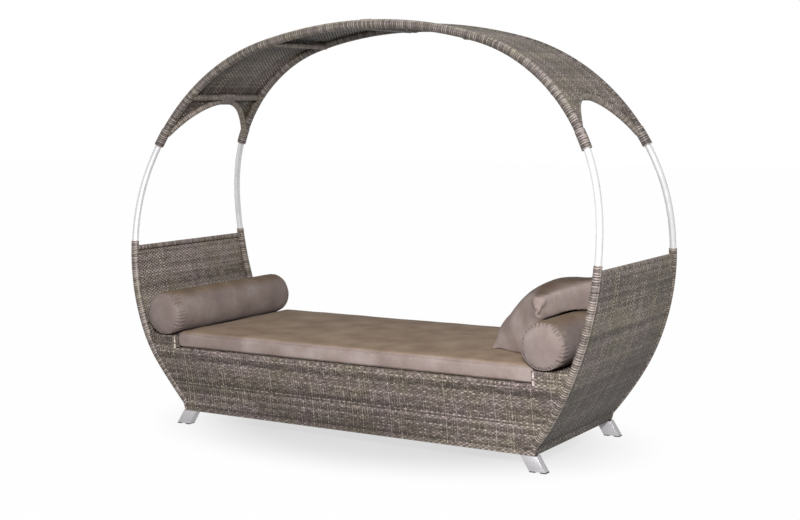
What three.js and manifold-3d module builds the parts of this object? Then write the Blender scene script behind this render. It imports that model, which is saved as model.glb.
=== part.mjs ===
// Outdoor daybed with a woven canopy, in millimetres.
// X runs along its length, Y from front to back and Z up from the floor it stands on.
import * as THREE from "three";
import { mergeVertices } from "three/addons/utils/BufferGeometryUtils.js";
import Module from "manifold-3d";

const wasm = await Module();
wasm.setup();

// Fits shared by every piece
const gap = 0.3; // between pieces that touch
const overrun = 12; // how far a cutter passes the face that it cuts
const weld = 0.002; // vertices nearer than this are one

// Steps along curved pieces and facets round them
const roundFacets = 12;
const archFacets = 10;
const shortSteps = 4;
const uprightSteps = 12;
const postSteps = 14;
const hoopSteps = 20;
const archSteps = 22;
const roofColumns = 12;
const roofRows = 28;
const sideRows = 12;
const endRows = 20;
const mattressSteps = 4;
const pillowCells = 14;

// Hoop line: three arcs that meet without a kink, from the crown down to the floor
const widestHeight = 923.5;
const hullRadius = 1273;
const shoulderRadius = 895;
const crownArcEnd = THREE.MathUtils.degToRad(15.3);
const shoulderArcEnd = THREE.MathUtils.degToRad(84.4);

// Half-width of the hoop line at equal steps from the floor to the crown
const seatHalfWidth = 446;
const halfWidthShares = [
  0.875, 0.917, 0.992, 0.994, 0.963, 0.91, 0.833, 0.741, 0.657, 0.57, 0.46,
];

// Heights above the floor
const wickerBottom = 70;
const skirtTop = 113;
const shoulderHeight = 440;
const endRailHeight = 850;
const postStub = 35; // from the end rail up to the post's open top

// Lengths along the hoop line, one after the other from the seam at the crown
const seamToHighCrossbar = 522;
const highToLowCrossbar = 523;
const lowCrossbarToArchFoot = 235;
const archFootToCanopyEnd = 60;

// Recess for the mattress between the shoulders
const recessDepth = 57;
const shoulderShelf = 181.9; // from the recess out to the hoop line

// Woven skins
const skinThickness = 10;
const hullSkinInside = 4; // from the post's centre line out to the skin's inner face
const skirtTaper = 10; // how far the skirt draws in from its top to the floor side

// Wrapped tubes and bare tubes
const uprightRadius = 15;
const socketPlay = 0.9;
const postWrap = 2.1; // wall and wrap round the socket of a post
const hoopWrap = 4.1; // wall and wrap round the socket of a hoop
const collarRadius = 22.5;
const collarLength = 85;
const postSocketDepth = 90;
const hoopSocketDepth = 60;
const endRailRadius = 12;
const crossbarRadius = 15;
const archRadius = 13;

// Canopy
const roofSkinInside = 6; // from the hoop's centre line out to the skin's inner face
const roofSkinThickness = 9;
const roofPlay = 1; // between the bars and the skin over them
const seamBoltRadius = 4;
const seamBoltHeadRadius = 7;
const seamBoltHeadHeight = 5;
const seamBoltHalfSpacing = 90;
const seamBoltPlay = 0.4;

// Frame inside the hull, of box tube
const railWidth = 20;
const railWall = 2;
const seatRailWidth = 25;
const seatRailHeight = 40;
const slatWidth = 60;
const slatHeight = 20;
const slatEndInset = 101; // from the end of the recess to the middle of the last slat
const slatCount = 4;
const studWidth = 25;
const studDepth = 15;
const studHalfSpacing = 450;
const deckThickness = 8;
const deckSlatGap = gap;

// Feet
const footWidth = 75;
const footDepth = 40;
const footWall = 2.5;
const footSplay = 44; // how far the foot leans out from top to floor
const footInset = 32; // from the end of the skirt to the middle of the foot's top
const footSetback = 3; // behind the front skin's face
const padHeight = 4;
const padLength = 25;
const padPlugHeight = 12;

// Cushions
const mattressLength = 1900;
const mattressWidth = 900;
const mattressAboveRim = 21; // from the shoulders' top up to the mattress's edge
const mattressCrown = 5;
const mattressCornerRadius = 12;
const mattressSideBulge = 5;
const mattressPull = 4; // how far each side draws in between the corners
const mattressEndGap = 2;
const bolsterRadius = 107;
const bolsterLength = 930;
const bolsterForward = 28; // how far the bolsters lie out over the front
const bolsterPleats = 24;
const bolsterPleatDepth = 2.6;
const bolsterPleatLength = 64;
const bolsterRimRound = 16;
const bolsterEndCrown = 14;
const pillowSize = 450;
const pillowThickness = 138;
const pillowEdge = 5;
const pillowForward = 95;
const pillowTurn = THREE.MathUtils.degToRad(25); // one corner down towards the mattress

// Materials
const wicker = (colour) =>
  new THREE.MeshStandardMaterial({ color: colour, roughness: 0.62, metalness: 0 });
const weaveMaterial = wicker(0x6f675f);
const wrapMaterial = wicker(0x857c73);
const roofMaterial = wicker(0x655c54);
const bareTubeMaterial = new THREE.MeshStandardMaterial({
  color: 0xe2e3e4,
  roughness: 0.35,
  metalness: 0.6,
});
const frameMaterial = new THREE.MeshStandardMaterial({
  color: 0xb7babd,
  roughness: 0.45,
  metalness: 0.8,
});
const padMaterial = new THREE.MeshStandardMaterial({
  color: 0x3a3a3b,
  roughness: 0.7,
  metalness: 0,
});
const fabricMaterial = new THREE.MeshStandardMaterial({
  color: 0x8b7a6b,
  roughness: 0.85,
  metalness: 0,
});
const boltMaterial = new THREE.MeshStandardMaterial({
  color: 0x9da0a3,
  roughness: 0.35,
  metalness: 0.9,
});

const daybed = new THREE.Group();
const ends = [
  ["left", -1],
  ["right", 1],
];
const sides = [
  ["front", -1],
  ["back", 1],
];

function add(name, geometry, material) {
  const mesh = new THREE.Mesh(geometry, material);
  mesh.name = name;
  daybed.add(mesh);
  return mesh;
}

// A piece drawn at the right end is turned over for the left end.
function addEnds(name, geometry, material) {
  ends.forEach(([end, x]) => add(`${name}_${end}`, geometry, material).scale.setX(x));
}

// A piece drawn at the back is turned over for the front.
function addSides(name, geometry, material) {
  sides.forEach(([side, y]) => add(`${name}_${side}`, geometry, material).scale.setY(y));
}

// A piece drawn at the back right corner is turned over for the other three.
function addCorners(name, geometry, material) {
  sides.forEach(([side, y]) =>
    ends.forEach(([end, x]) =>
      add(`${name}_${side}_${end}`, geometry, material).scale.set(x, y, 1),
    ),
  );
}

// Solids for cutting and joining
function solid(geometry) {
  const bare = geometry.clone();
  bare.deleteAttribute("normal");
  bare.deleteAttribute("uv");
  const merged = mergeVertices(bare, weld);
  return new wasm.Manifold(
    new wasm.Mesh({
      numProp: 3,
      vertProperties: merged.attributes.position.array,
      triVerts: new Uint32Array(merged.index.array),
    }),
  );
}

function geometryOf(body) {
  const mesh = body.getMesh();
  const geometry = new THREE.BufferGeometry();
  geometry.setAttribute("position", new THREE.BufferAttribute(mesh.vertProperties, 3));
  geometry.setIndex(new THREE.BufferAttribute(mesh.triVerts, 1));
  geometry.computeVertexNormals();
  return geometry;
}

// Turns a closed surface inside out where its faces point inwards.
function facingOut(geometry) {
  const at = geometry.attributes.position;
  const index = geometry.index.array;
  const corner = (n) => new THREE.Vector3().fromBufferAttribute(at, index[n]);
  let volume = 0;
  for (let n = 0; n < index.length; n += 3) {
    volume += corner(n).dot(corner(n + 1).cross(corner(n + 2)));
  }
  if (volume < 0) {
    for (let n = 0; n < index.length; n += 3) {
      [index[n], index[n + 1]] = [index[n + 1], index[n]];
    }
  }
  geometry.computeVertexNormals();
  return geometry;
}

function surface(points, triangles) {
  const geometry = new THREE.BufferGeometry().setFromPoints(points);
  geometry.setIndex(new THREE.BufferAttribute(new Uint32Array(triangles.flat()), 1));
  return facingOut(geometry);
}

// A closed slab between two curved faces: place(u, v, face) gives a point of face 0 or 1.
function slab(place, columns, rows) {
  const points = [];
  const triangles = [];
  for (let face = 0; face < 2; face++) {
    for (let row = 0; row <= rows; row++) {
      for (let column = 0; column <= columns; column++) {
        points.push(place(column / columns, row / rows, face));
      }
    }
  }
  const at = (column, row, face) => (face * (rows + 1) + row) * (columns + 1) + column;
  const quad = (a, b, c, d) => triangles.push([a, b, c], [a, c, d]);
  for (let row = 0; row < rows; row++) {
    for (let column = 0; column < columns; column++) {
      quad(
        at(column, row, 0),
        at(column, row + 1, 0),
        at(column + 1, row + 1, 0),
        at(column + 1, row, 0),
      );
      quad(
        at(column, row, 1),
        at(column + 1, row, 1),
        at(column + 1, row + 1, 1),
        at(column, row + 1, 1),
      );
    }
    quad(at(0, row, 0), at(0, row, 1), at(0, row + 1, 1), at(0, row + 1, 0));
    quad(
      at(columns, row, 0),
      at(columns, row + 1, 0),
      at(columns, row + 1, 1),
      at(columns, row, 1),
    );
  }
  for (let column = 0; column < columns; column++) {
    quad(at(column, 0, 0), at(column + 1, 0, 0), at(column + 1, 0, 1), at(column, 0, 1));
    quad(
      at(column, rows, 0),
      at(column, rows, 1),
      at(column + 1, rows, 1),
      at(column + 1, rows, 0),
    );
  }
  return surface(points, triangles);
}

// A closed body through rings of equally many points, with a point on the axis at each end.
function rings(first, loops, last) {
  const count = loops[0].length;
  const triangles = [];
  const at = (ring, n) => 1 + ring * count + (n % count);
  const end = 1 + loops.length * count;
  for (let n = 0; n < count; n++) {
    triangles.push([0, at(0, n + 1), at(0, n)]);
    triangles.push([end, at(loops.length - 1, n), at(loops.length - 1, n + 1)]);
    for (let ring = 0; ring + 1 < loops.length; ring++) {
      triangles.push([at(ring, n), at(ring, n + 1), at(ring + 1, n)]);
      triangles.push([at(ring, n + 1), at(ring + 1, n + 1), at(ring + 1, n)]);
    }
  }
  return surface([first, ...loops.flat(), last], triangles);
}

// A round bar along a curve
function tube(curve, radius, steps, facets = roundFacets) {
  const section = new THREE.Shape();
  section.absarc(0, 0, radius, 0, 2 * Math.PI);
  return new THREE.ExtrudeGeometry(section, {
    steps,
    curveSegments: facets / 2,
    extrudePath: curve,
    bevelEnabled: false,
  });
}

function block(from, to) {
  const size = to.clone().sub(from);
  const middle = from.clone().add(to).divideScalar(2);
  return new THREE.BoxGeometry(size.x, size.y, size.z).translate(
    middle.x,
    middle.y,
    middle.z,
  );
}

function rectangle(width, height) {
  return [
    new THREE.Vector2(-width / 2, -height / 2),
    new THREE.Vector2(width / 2, -height / 2),
    new THREE.Vector2(width / 2, height / 2),
    new THREE.Vector2(-width / 2, height / 2),
  ];
}

// A length of box tube along Z, centred on it
function boxTube(width, depth, length, wall) {
  const section = new THREE.Shape(rectangle(width, depth));
  section.holes.push(new THREE.Path(rectangle(width - 2 * wall, depth - 2 * wall)));
  return new THREE.ExtrudeGeometry(section, {
    depth: length,
    bevelEnabled: false,
  }).translate(0, 0, -length / 2);
}

// Sizes that follow from the fits
const postRadius = uprightRadius + socketPlay + postWrap;
const hoopRadius = uprightRadius + socketPlay + hoopWrap;
const postTop = endRailHeight + postStub;
const seatHeight = shoulderHeight - recessDepth;
const recessHalfLength = mattressLength / 2 + mattressEndGap;
const highCrossbarLength = seamToHighCrossbar;
const lowCrossbarLength = highCrossbarLength + highToLowCrossbar;
const archFootLength = lowCrossbarLength + lowCrossbarToArchFoot;
const canopyLength = archFootLength + archFootToCanopyEnd;

// Hoop line
const away = (heading, reach) =>
  new THREE.Vector2(Math.sin(heading), Math.cos(heading)).multiplyScalar(reach);
const hullSpan = Math.sqrt(hullRadius ** 2 - (widestHeight - shoulderHeight) ** 2);
const hullCentre = new THREE.Vector2(
  recessHalfLength + shoulderShelf - hullSpan,
  widestHeight,
);
const shoulderCentre = away(shoulderArcEnd, hullRadius - shoulderRadius).add(hullCentre);
const crownRadius = shoulderRadius + shoulderCentre.x / Math.sin(crownArcEnd);
const crownCentre = away(crownArcEnd, shoulderRadius - crownRadius).add(shoulderCentre);
const crownHeight = crownCentre.y + crownRadius;
const arcs = [
  { end: crownArcEnd, centre: crownCentre, radius: crownRadius },
  { end: shoulderArcEnd, centre: shoulderCentre, radius: shoulderRadius },
  { end: Math.PI, centre: hullCentre, radius: hullRadius },
];

// The heading is how far the line has turned down from level at the crown.
function lineAt(heading, offset = 0) {
  const arc = arcs.find(({ end }) => heading <= end);
  return away(heading, arc.radius + offset).add(arc.centre);
}

function headingAt(height, offset = 0) {
  const arc = arcs.find(({ end }) => lineAt(end, offset).y <= height);
  return Math.acos((height - arc.centre.y) / (arc.radius + offset));
}

const reachAt = (height, offset = 0) => lineAt(headingAt(height, offset), offset).x;

function headingAlong(length) {
  const crownLength = crownRadius * crownArcEnd;
  return length < crownLength
    ? length / crownRadius
    : crownArcEnd + (length - crownLength) / shoulderRadius;
}

const halfWidthCurve = new THREE.CatmullRomCurve3(
  halfWidthShares.map((share) => new THREE.Vector3(share, 0, 0)),
  false,
  "catmullrom",
);

function halfWidthAt(height) {
  const share = THREE.MathUtils.clamp(height / crownHeight, 0, 1);
  return seatHalfWidth * halfWidthCurve.getPoint(share).x;
}

class HoopLine extends THREE.Curve {
  constructor(fromHeading, toHeading) {
    super();
    this.from = fromHeading;
    this.to = toHeading;
  }
  getPoint(t) {
    const place = lineAt(THREE.MathUtils.lerp(this.from, this.to, t));
    return new THREE.Vector3(place.x, halfWidthAt(place.y), place.y);
  }
}

const turnOf = (length, radius) => length / radius;
const mirrorY = (body) => body.mirror([0, 1, 0]);
const mirrorX = (body) => body.mirror([1, 0, 0]);

// Corner posts: wrapped tube from the bottom rails up past the end panel, open at the top
const postTopHeading = headingAt(postTop);
const postFootHeading = headingAt(skirtTop) + turnOf(3 * postRadius, hullRadius);
const postSocketHeading = headingAt(postTop - postSocketDepth);
const postLine = new HoopLine(postTopHeading, postFootHeading);
const postSocketLine = new HoopLine(
  postTopHeading - turnOf(overrun, hullRadius),
  postSocketHeading,
);
const belowSkirtTop = solid(
  block(
    new THREE.Vector3(0, 0, 0),
    new THREE.Vector3(2 * hullRadius, 2 * seatHalfWidth, skirtTop + gap),
  ),
);
const postBody = solid(tube(postLine, postRadius, postSteps)).subtract(belowSkirtTop);
const postSocket = solid(tube(postSocketLine, uprightRadius + socketPlay, shortSteps));
addCorners("corner_post", geometryOf(postBody.subtract(postSocket)), wrapMaterial);
const postClearance = solid(tube(postLine, postRadius + gap, postSteps));
const bothPostClearances = postClearance.add(mirrorY(postClearance));

// Uprights: bare tubes seated in the posts below and in the canopy hoops above
const canopyEndHeading = headingAlong(canopyLength);
const uprightLine = new HoopLine(
  canopyEndHeading - turnOf(hoopSocketDepth - gap, shoulderRadius),
  headingAt(postTop - postSocketDepth + gap),
);
addCorners("upright", tube(uprightLine, uprightRadius, uprightSteps), bareTubeMaterial);

// Canopy hoops: half a hoop each, wrapped, with a thicker collar round the socket
const seamHeading = Math.asin(gap / 2 / crownRadius);
const hoopLine = new HoopLine(seamHeading, canopyEndHeading);
const collarLine = (room) =>
  new HoopLine(
    canopyEndHeading - turnOf(collarLength + room, shoulderRadius),
    canopyEndHeading,
  );
const hoopSocketLine = new HoopLine(
  canopyEndHeading - turnOf(hoopSocketDepth, shoulderRadius),
  canopyEndHeading + turnOf(overrun, shoulderRadius),
);
const hoopBody = solid(tube(hoopLine, hoopRadius, hoopSteps))
  .add(solid(tube(collarLine(0), collarRadius, shortSteps)))
  .subtract(solid(tube(hoopSocketLine, uprightRadius + socketPlay, shortSteps)));
addCorners("canopy_hoop", geometryOf(hoopBody), wrapMaterial);
const hoopClearance = solid(tube(hoopLine, hoopRadius + gap, hoopSteps)).add(
  solid(tube(collarLine(gap), collarRadius + gap, shortSteps)),
);
const bothHoopClearances = hoopClearance.add(mirrorY(hoopClearance));

// Straight bars from hoop to hoop, their ends coped to the hoops
const barOffset = roofSkinInside - roofPlay - crossbarRadius;
function crossbar(heading, radius, offset) {
  const place = lineAt(heading, offset);
  const halfLength = halfWidthAt(place.y) - hoopRadius / 2;
  const bar = new THREE.CylinderGeometry(radius, radius, 2 * halfLength, roundFacets);
  bar.translate(place.x, 0, place.y);
  return solid(bar).subtract(bothHoopClearances);
}
const lowCrossbarHeading = headingAlong(lowCrossbarLength);
const highCrossbarHeading = headingAlong(highCrossbarLength);
const seamBarHeading = turnOf(crossbarRadius + gap, crownRadius + barOffset);
addEnds(
  "low_crossbar",
  geometryOf(crossbar(lowCrossbarHeading, crossbarRadius, barOffset)),
  wrapMaterial,
);
addEnds(
  "high_crossbar",
  geometryOf(crossbar(highCrossbarHeading, crossbarRadius, barOffset)),
  wrapMaterial,
);

// Seam bars: one at the top of each canopy half, bolted to each other
const seamBarPlace = lineAt(seamBarHeading, barOffset);
const boltPlaces = [-seamBoltHalfSpacing, seamBoltHalfSpacing];
function boltHole(y) {
  const hole = new THREE.CylinderGeometry(
    seamBoltRadius + seamBoltPlay,
    seamBoltRadius + seamBoltPlay,
    4 * hoopRadius,
    roundFacets,
  );
  return solid(hole.rotateZ(Math.PI / 2).translate(0, y, seamBarPlace.y));
}
const seamBar = boltPlaces.reduce(
  (bar, y) => bar.subtract(boltHole(y)),
  crossbar(seamBarHeading, crossbarRadius, barOffset),
);
addEnds("seam_bar", geometryOf(seamBar), wrapMaterial);

// Seam bolts: head, shank and nut turned as one
const boltGrip = seamBarPlace.x + crossbarRadius + gap;
const boltProfile = [
  new THREE.Vector2(0, -boltGrip - seamBoltHeadHeight),
  new THREE.Vector2(seamBoltHeadRadius, -boltGrip - seamBoltHeadHeight),
  new THREE.Vector2(seamBoltHeadRadius, -boltGrip),
  new THREE.Vector2(seamBoltRadius, -boltGrip),
  new THREE.Vector2(seamBoltRadius, boltGrip),
  new THREE.Vector2(seamBoltHeadRadius, boltGrip),
  new THREE.Vector2(seamBoltHeadRadius, boltGrip + seamBoltHeadHeight),
  new THREE.Vector2(0, boltGrip + seamBoltHeadHeight),
];
sides.forEach(([side, y]) => {
  const bolt = new THREE.LatheGeometry(boltProfile, roundFacets).rotateZ(-Math.PI / 2);
  add(`seam_bolt_${side}`, bolt, boltMaterial).position.set(
    0,
    y * seamBoltHalfSpacing,
    seamBarPlace.y,
  );
});

// Arch rails: each canopy half ends in an arch that springs from hoop to hoop
const archOffset = roofSkinInside - roofPlay - archRadius;
const archCrownHeading =
  lowCrossbarHeading + turnOf(crossbarRadius + archRadius + 2 * gap, shoulderRadius);
const archFootHeading = headingAlong(archFootLength);
const archHalfSpan = halfWidthAt(lineAt(archFootHeading).y) - hoopRadius / 2;
const archHeading = (share) =>
  THREE.MathUtils.lerp(archCrownHeading, archFootHeading, share * share);

class ArchLine extends THREE.Curve {
  getPoint(t) {
    const share = 2 * t - 1;
    const place = lineAt(archHeading(share), archOffset);
    return new THREE.Vector3(place.x, share * archHalfSpan, place.y);
  }
}
const archRail = solid(tube(new ArchLine(), archRadius, archSteps, archFacets)).subtract(
  bothHoopClearances,
);
addEnds("arch_rail", geometryOf(archRail), wrapMaterial);

// Roof skins: one woven sheet on each canopy half, from the seam to the arch
function roofPoint(u, v, face) {
  const across = 2 * u - 1;
  const edgeHeading = archHeading(across);
  const lastHeading = edgeHeading - turnOf(archRadius / 2, shoulderRadius);
  const heading = THREE.MathUtils.lerp(seamHeading, lastHeading, v);
  const place = lineAt(heading, roofSkinInside + face * roofSkinThickness);
  const halfWidth = halfWidthAt(place.y) - hoopRadius / 2;
  return new THREE.Vector3(place.x, across * halfWidth, place.y);
}
const roofSkin = solid(slab(roofPoint, roofColumns, roofRows)).subtract(bothHoopClearances);
addEnds("roof_skin", geometryOf(roofSkin), roofMaterial);

// Side panels: woven skins over the long sides, cut down between the shoulders for the mattress
const skinOutside = hullSkinInside + skinThickness;
const skirtTopReach = reachAt(skirtTop, skinOutside);
const skirtHalfLength = skirtTopReach - skirtTaper;
function sidePoint(endAt, heights) {
  return (u, v, face) => {
    const height = heights[Math.round(v * (heights.length - 1))];
    const y = halfWidthAt(height) + hullSkinInside + face * skinThickness;
    return new THREE.Vector3((2 * u - 1) * endAt(height), y, height);
  };
}
const heightsAboveSkirt = Array.from({ length: sideRows + 1 }, (_, row) =>
  THREE.MathUtils.lerp(skirtTop, shoulderHeight, row / sideRows),
);
const skirtHeights = [wickerBottom, skirtTop];
const skirtReachAt = (height) =>
  THREE.MathUtils.mapLinear(
    height,
    wickerBottom,
    skirtTop,
    skirtHalfLength,
    skirtTopReach,
  );
const panelReachAt = (height) => reachAt(Math.max(height, skirtTop), -postRadius - gap);
const panelHeights = [wickerBottom, ...heightsAboveSkirt];
const sideWall = solid(
  slab(sidePoint(panelReachAt, panelHeights), 1, panelHeights.length - 1),
).add(solid(slab(sidePoint(skirtReachAt, skirtHeights), 1, 1)));
const seatRecess = solid(
  block(
    new THREE.Vector3(-recessHalfLength, 0, seatHeight - gap),
    new THREE.Vector3(recessHalfLength, 2 * seatHalfWidth, shoulderHeight + overrun),
  ),
);
addSides("side_panel", geometryOf(sideWall.subtract(seatRecess)), weaveMaterial);

// End panels: woven skins that sweep up from the skirt between the posts
const endPanelTop = endRailHeight - endRailRadius - 2 * gap;
function endPoint(u, v, face) {
  const heading = THREE.MathUtils.lerp(headingAt(endPanelTop), headingAt(skirtTop), v);
  const place = lineAt(heading, hullSkinInside + face * skinThickness);
  const halfWidth = halfWidthAt(place.y) - postRadius - gap;
  return new THREE.Vector3(place.x, (2 * u - 1) * halfWidth, place.y);
}
function endSkirtPoint(u, v, face) {
  const height = THREE.MathUtils.lerp(skirtTop, wickerBottom, v);
  const halfWidth = halfWidthAt(wickerBottom) + hullSkinInside - gap;
  const reach = skirtReachAt(height) - (1 - face) * skinThickness;
  return new THREE.Vector3(reach, (2 * u - 1) * halfWidth, height);
}
const endSkin = solid(slab(endPoint, 1, endRows));
const endSkirt = solid(slab(endSkirtPoint, 1, 1));
addEnds("end_panel", geometryOf(endSkin.add(endSkirt)), weaveMaterial);

// End rails: a wrapped bar along the top of each end panel
const endRailHalfLength = halfWidthAt(endRailHeight) - postRadius / 2;
const endRail = new THREE.CylinderGeometry(
  endRailRadius,
  endRailRadius,
  2 * endRailHalfLength,
  roundFacets,
).translate(reachAt(endRailHeight), 0, endRailHeight);
addEnds("end_rail", geometryOf(solid(endRail).subtract(bothPostClearances)), wrapMaterial);

// Shoulders: woven boxes that close each end of the seat, lower than the mattress's top
const shoulderInside = hullSkinInside - gap;
const shoulderUnder = shoulderHeight - skinThickness;
const shoulderProfile = new THREE.Shape([
  new THREE.Vector2(recessHalfLength, seatHeight),
  new THREE.Vector2(recessHalfLength + skinThickness, seatHeight),
  new THREE.Vector2(recessHalfLength + skinThickness, shoulderUnder),
  new THREE.Vector2(reachAt(shoulderUnder, shoulderInside), shoulderUnder),
  new THREE.Vector2(reachAt(shoulderHeight, shoulderInside), shoulderHeight),
  new THREE.Vector2(recessHalfLength, shoulderHeight),
]);
const shoulderHalfWidth =
  Math.min(...[seatHeight, shoulderHeight].map(halfWidthAt)) + hullSkinInside - gap;
const shoulder = new THREE.ExtrudeGeometry(shoulderProfile, {
  depth: 2 * shoulderHalfWidth,
  bevelEnabled: false,
})
  .rotateX(Math.PI / 2)
  .translate(0, shoulderHalfWidth, 0);
addEnds(
  "shoulder",
  geometryOf(solid(shoulder).subtract(bothPostClearances)),
  weaveMaterial,
);

// Bottom frame: four rails inside the skirt and a bearer across the middle
const railHeight = skirtTop - wickerBottom - gap;
const railMiddle = wickerBottom + railHeight / 2;
const railOutside = halfWidthAt(wickerBottom) + hullSkinInside - gap;
const railHalfLength = skirtHalfLength - skinThickness - gap;
const longRail = boxTube(railHeight, railWidth, 2 * railHalfLength, railWall)
  .rotateY(Math.PI / 2)
  .translate(0, railOutside - railWidth / 2, railMiddle);
addSides("bottom_rail", longRail, frameMaterial);
const crossRailLength = 2 * (railOutside - railWidth - gap);
const crossRail = () =>
  boxTube(railWidth, railHeight, crossRailLength, railWall).rotateX(Math.PI / 2);
addEnds(
  "bottom_rail",
  crossRail().translate(railHalfLength - railWidth / 2, 0, railMiddle),
  frameMaterial,
);
add("bottom_bearer", crossRail().translate(0, 0, railMiddle), frameMaterial);

// Seat frame: two long rails between the posts, with slats welded across
const seatRailTop = seatHeight - gap - deckThickness - deckSlatGap;
const seatRailBottom = seatRailTop - seatRailHeight;
const seatRailOutside = halfWidthAt(seatRailBottom) + hullSkinInside - gap;
const seatRailHalfLength = reachAt(seatRailBottom, -postRadius - gap);
const seatRail = boxTube(
  seatRailHeight,
  seatRailWidth,
  2 * seatRailHalfLength,
  railWall,
)
  .rotateY(Math.PI / 2)
  .translate(
    0,
    seatRailOutside - seatRailWidth / 2,
    (seatRailTop + seatRailBottom) / 2,
  );
addSides("seat_rail", seatRail, frameMaterial);
const slatReach = recessHalfLength - slatEndInset;
const slatLength = 2 * (seatRailOutside - seatRailWidth - gap);
for (let n = 0; n < slatCount; n++) {
  const slat = boxTube(slatWidth, slatHeight, slatLength, railWall).rotateX(Math.PI / 2);
  add(`seat_slat_${n + 1}`, slat, frameMaterial).position.set(
    THREE.MathUtils.lerp(-slatReach, slatReach, n / (slatCount - 1)),
    0,
    seatRailTop - slatHeight / 2,
  );
}

// Studs: they lean out with the sides and carry the seat rails on the bottom rails
const studFoot = railOutside - railWidth;
const studHead = seatRailOutside - seatRailWidth;
const studFootHeight = wickerBottom + railHeight + gap;
const studHeadHeight = seatRailBottom - gap;
const studSection = new THREE.Shape([
  new THREE.Vector2(studFoot, studFootHeight),
  new THREE.Vector2(studFoot + studDepth, studFootHeight),
  new THREE.Vector2(studHead + studDepth, studHeadHeight),
  new THREE.Vector2(studHead, studHeadHeight),
]);
const stud = new THREE.ExtrudeGeometry(studSection, {
  depth: studWidth,
  bevelEnabled: false,
})
  .rotateX(Math.PI / 2)
  .rotateZ(Math.PI / 2)
  .translate(studHalfSpacing - studWidth / 2, 0, 0);
addCorners("stud", stud, frameMaterial);

// Seat deck: a woven sheet over the slats, under the mattress
const deckHalfLength = recessHalfLength + skinThickness;
const deckHalfWidth = halfWidthAt(seatHeight - deckThickness) + hullSkinInside - 2 * gap;
add(
  "seat_deck",
  block(
    new THREE.Vector3(-deckHalfLength, -deckHalfWidth, seatRailTop + deckSlatGap),
    new THREE.Vector3(deckHalfLength, deckHalfWidth, seatHeight - gap),
  ),
  weaveMaterial,
);

// Feet: short box tubes that splay outwards, with a plastic plug and two pads in each
const footTop = wickerBottom - gap;
const footBack = halfWidthAt(wickerBottom) + skinOutside - footSetback - footDepth;
const splay = footSplay / footTop;
const footLean = new THREE.Matrix4().set(
  1, 0, -splay, skirtHalfLength - footInset + footSplay,
  0, 1, 0, footBack + footDepth / 2,
  0, 0, 1, 0,
  0, 0, 0, 1,
);
const footHeight = footTop - padHeight;
const foot = boxTube(footWidth, footDepth, footHeight, footWall)
  .translate(0, 0, padHeight + footHeight / 2)
  .applyMatrix4(footLean);
addCorners("foot", foot, bareTubeMaterial);
const plugHalfWidth = footWidth / 2 - footWall - gap;
const plugHalfDepth = footDepth / 2 - footWall - gap;
const plug = block(
  new THREE.Vector3(-plugHalfWidth, -plugHalfDepth, padHeight - 2 * gap),
  new THREE.Vector3(plugHalfWidth, plugHalfDepth, padHeight + padPlugHeight),
);
const pad = block(
  new THREE.Vector3(footWidth / 2 - padLength, -footDepth / 2, 0),
  new THREE.Vector3(footWidth / 2, footDepth / 2, padHeight - gap),
);
const pads = solid(plug).add(solid(pad)).add(mirrorX(solid(pad)));
addCorners("foot_pad", geometryOf(pads).applyMatrix4(footLean), padMaterial);

// Mattress: a boxed pad with rounded corners, a crowned top and sides that swell a little
const mattressBase = seatHeight;
const mattressTop = shoulderHeight + mattressAboveRim;
const mattressCorners = [
  [1, 1],
  [-1, 1],
  [-1, -1],
  [1, -1],
];
const quarterTurn = Math.PI / 2;
function mattressLoop(inset, height) {
  const cornerMiddle = (n) => {
    const [x, y] = mattressCorners[n % mattressCorners.length];
    return new THREE.Vector2(
      x * (mattressLength / 2 - inset - mattressCornerRadius),
      y * (mattressWidth / 2 - inset - mattressCornerRadius),
    );
  };
  const outline = new THREE.Path();
  mattressCorners.forEach((_, n) => {
    const turn = n * quarterTurn;
    const outward = new THREE.Vector2(-Math.sin(turn), Math.cos(turn));
    const middle = cornerMiddle(n);
    const from = middle.clone().addScaledVector(outward, mattressCornerRadius);
    const to = cornerMiddle(n + 1).addScaledVector(outward, mattressCornerRadius);
    const pulled = from.add(to).divideScalar(2).addScaledVector(outward, -2 * mattressPull);
    outline.absarc(middle.x, middle.y, mattressCornerRadius, turn, turn + quarterTurn);
    outline.quadraticCurveTo(pulled.x, pulled.y, to.x, to.y);
  });
  const points = outline.getPoints(mattressSteps);
  return points
    .filter((point, n) => point.distanceTo(points[(n + 1) % points.length]) > gap)
    .map(({ x, y }) => new THREE.Vector3(x, y, height));
}
const crownAt = (share) => mattressTop + mattressCrown * (1 - share * share);
const mattressHalfWidth = mattressWidth / 2;
const topShares = [0.45, 0.75, 0.92];
const mattressLoops = [
  mattressLoop(mattressCornerRadius, mattressBase),
  mattressLoop(mattressSideBulge, mattressBase + gap),
  mattressLoop(mattressSideBulge / 2, mattressBase + mattressSideBulge),
  mattressLoop(0, (mattressBase + mattressTop) / 2),
  mattressLoop(mattressSideBulge / 2, mattressTop - mattressSideBulge),
  mattressLoop(mattressSideBulge, mattressTop),
  ...topShares
    .toReversed()
    .map((share) => mattressLoop(mattressHalfWidth * (1 - share), crownAt(share))),
];
add(
  "mattress",
  rings(
    new THREE.Vector3(0, 0, mattressBase),
    mattressLoops,
    new THREE.Vector3(0, 0, crownAt(0)),
  ),
  fabricMaterial,
);

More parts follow.
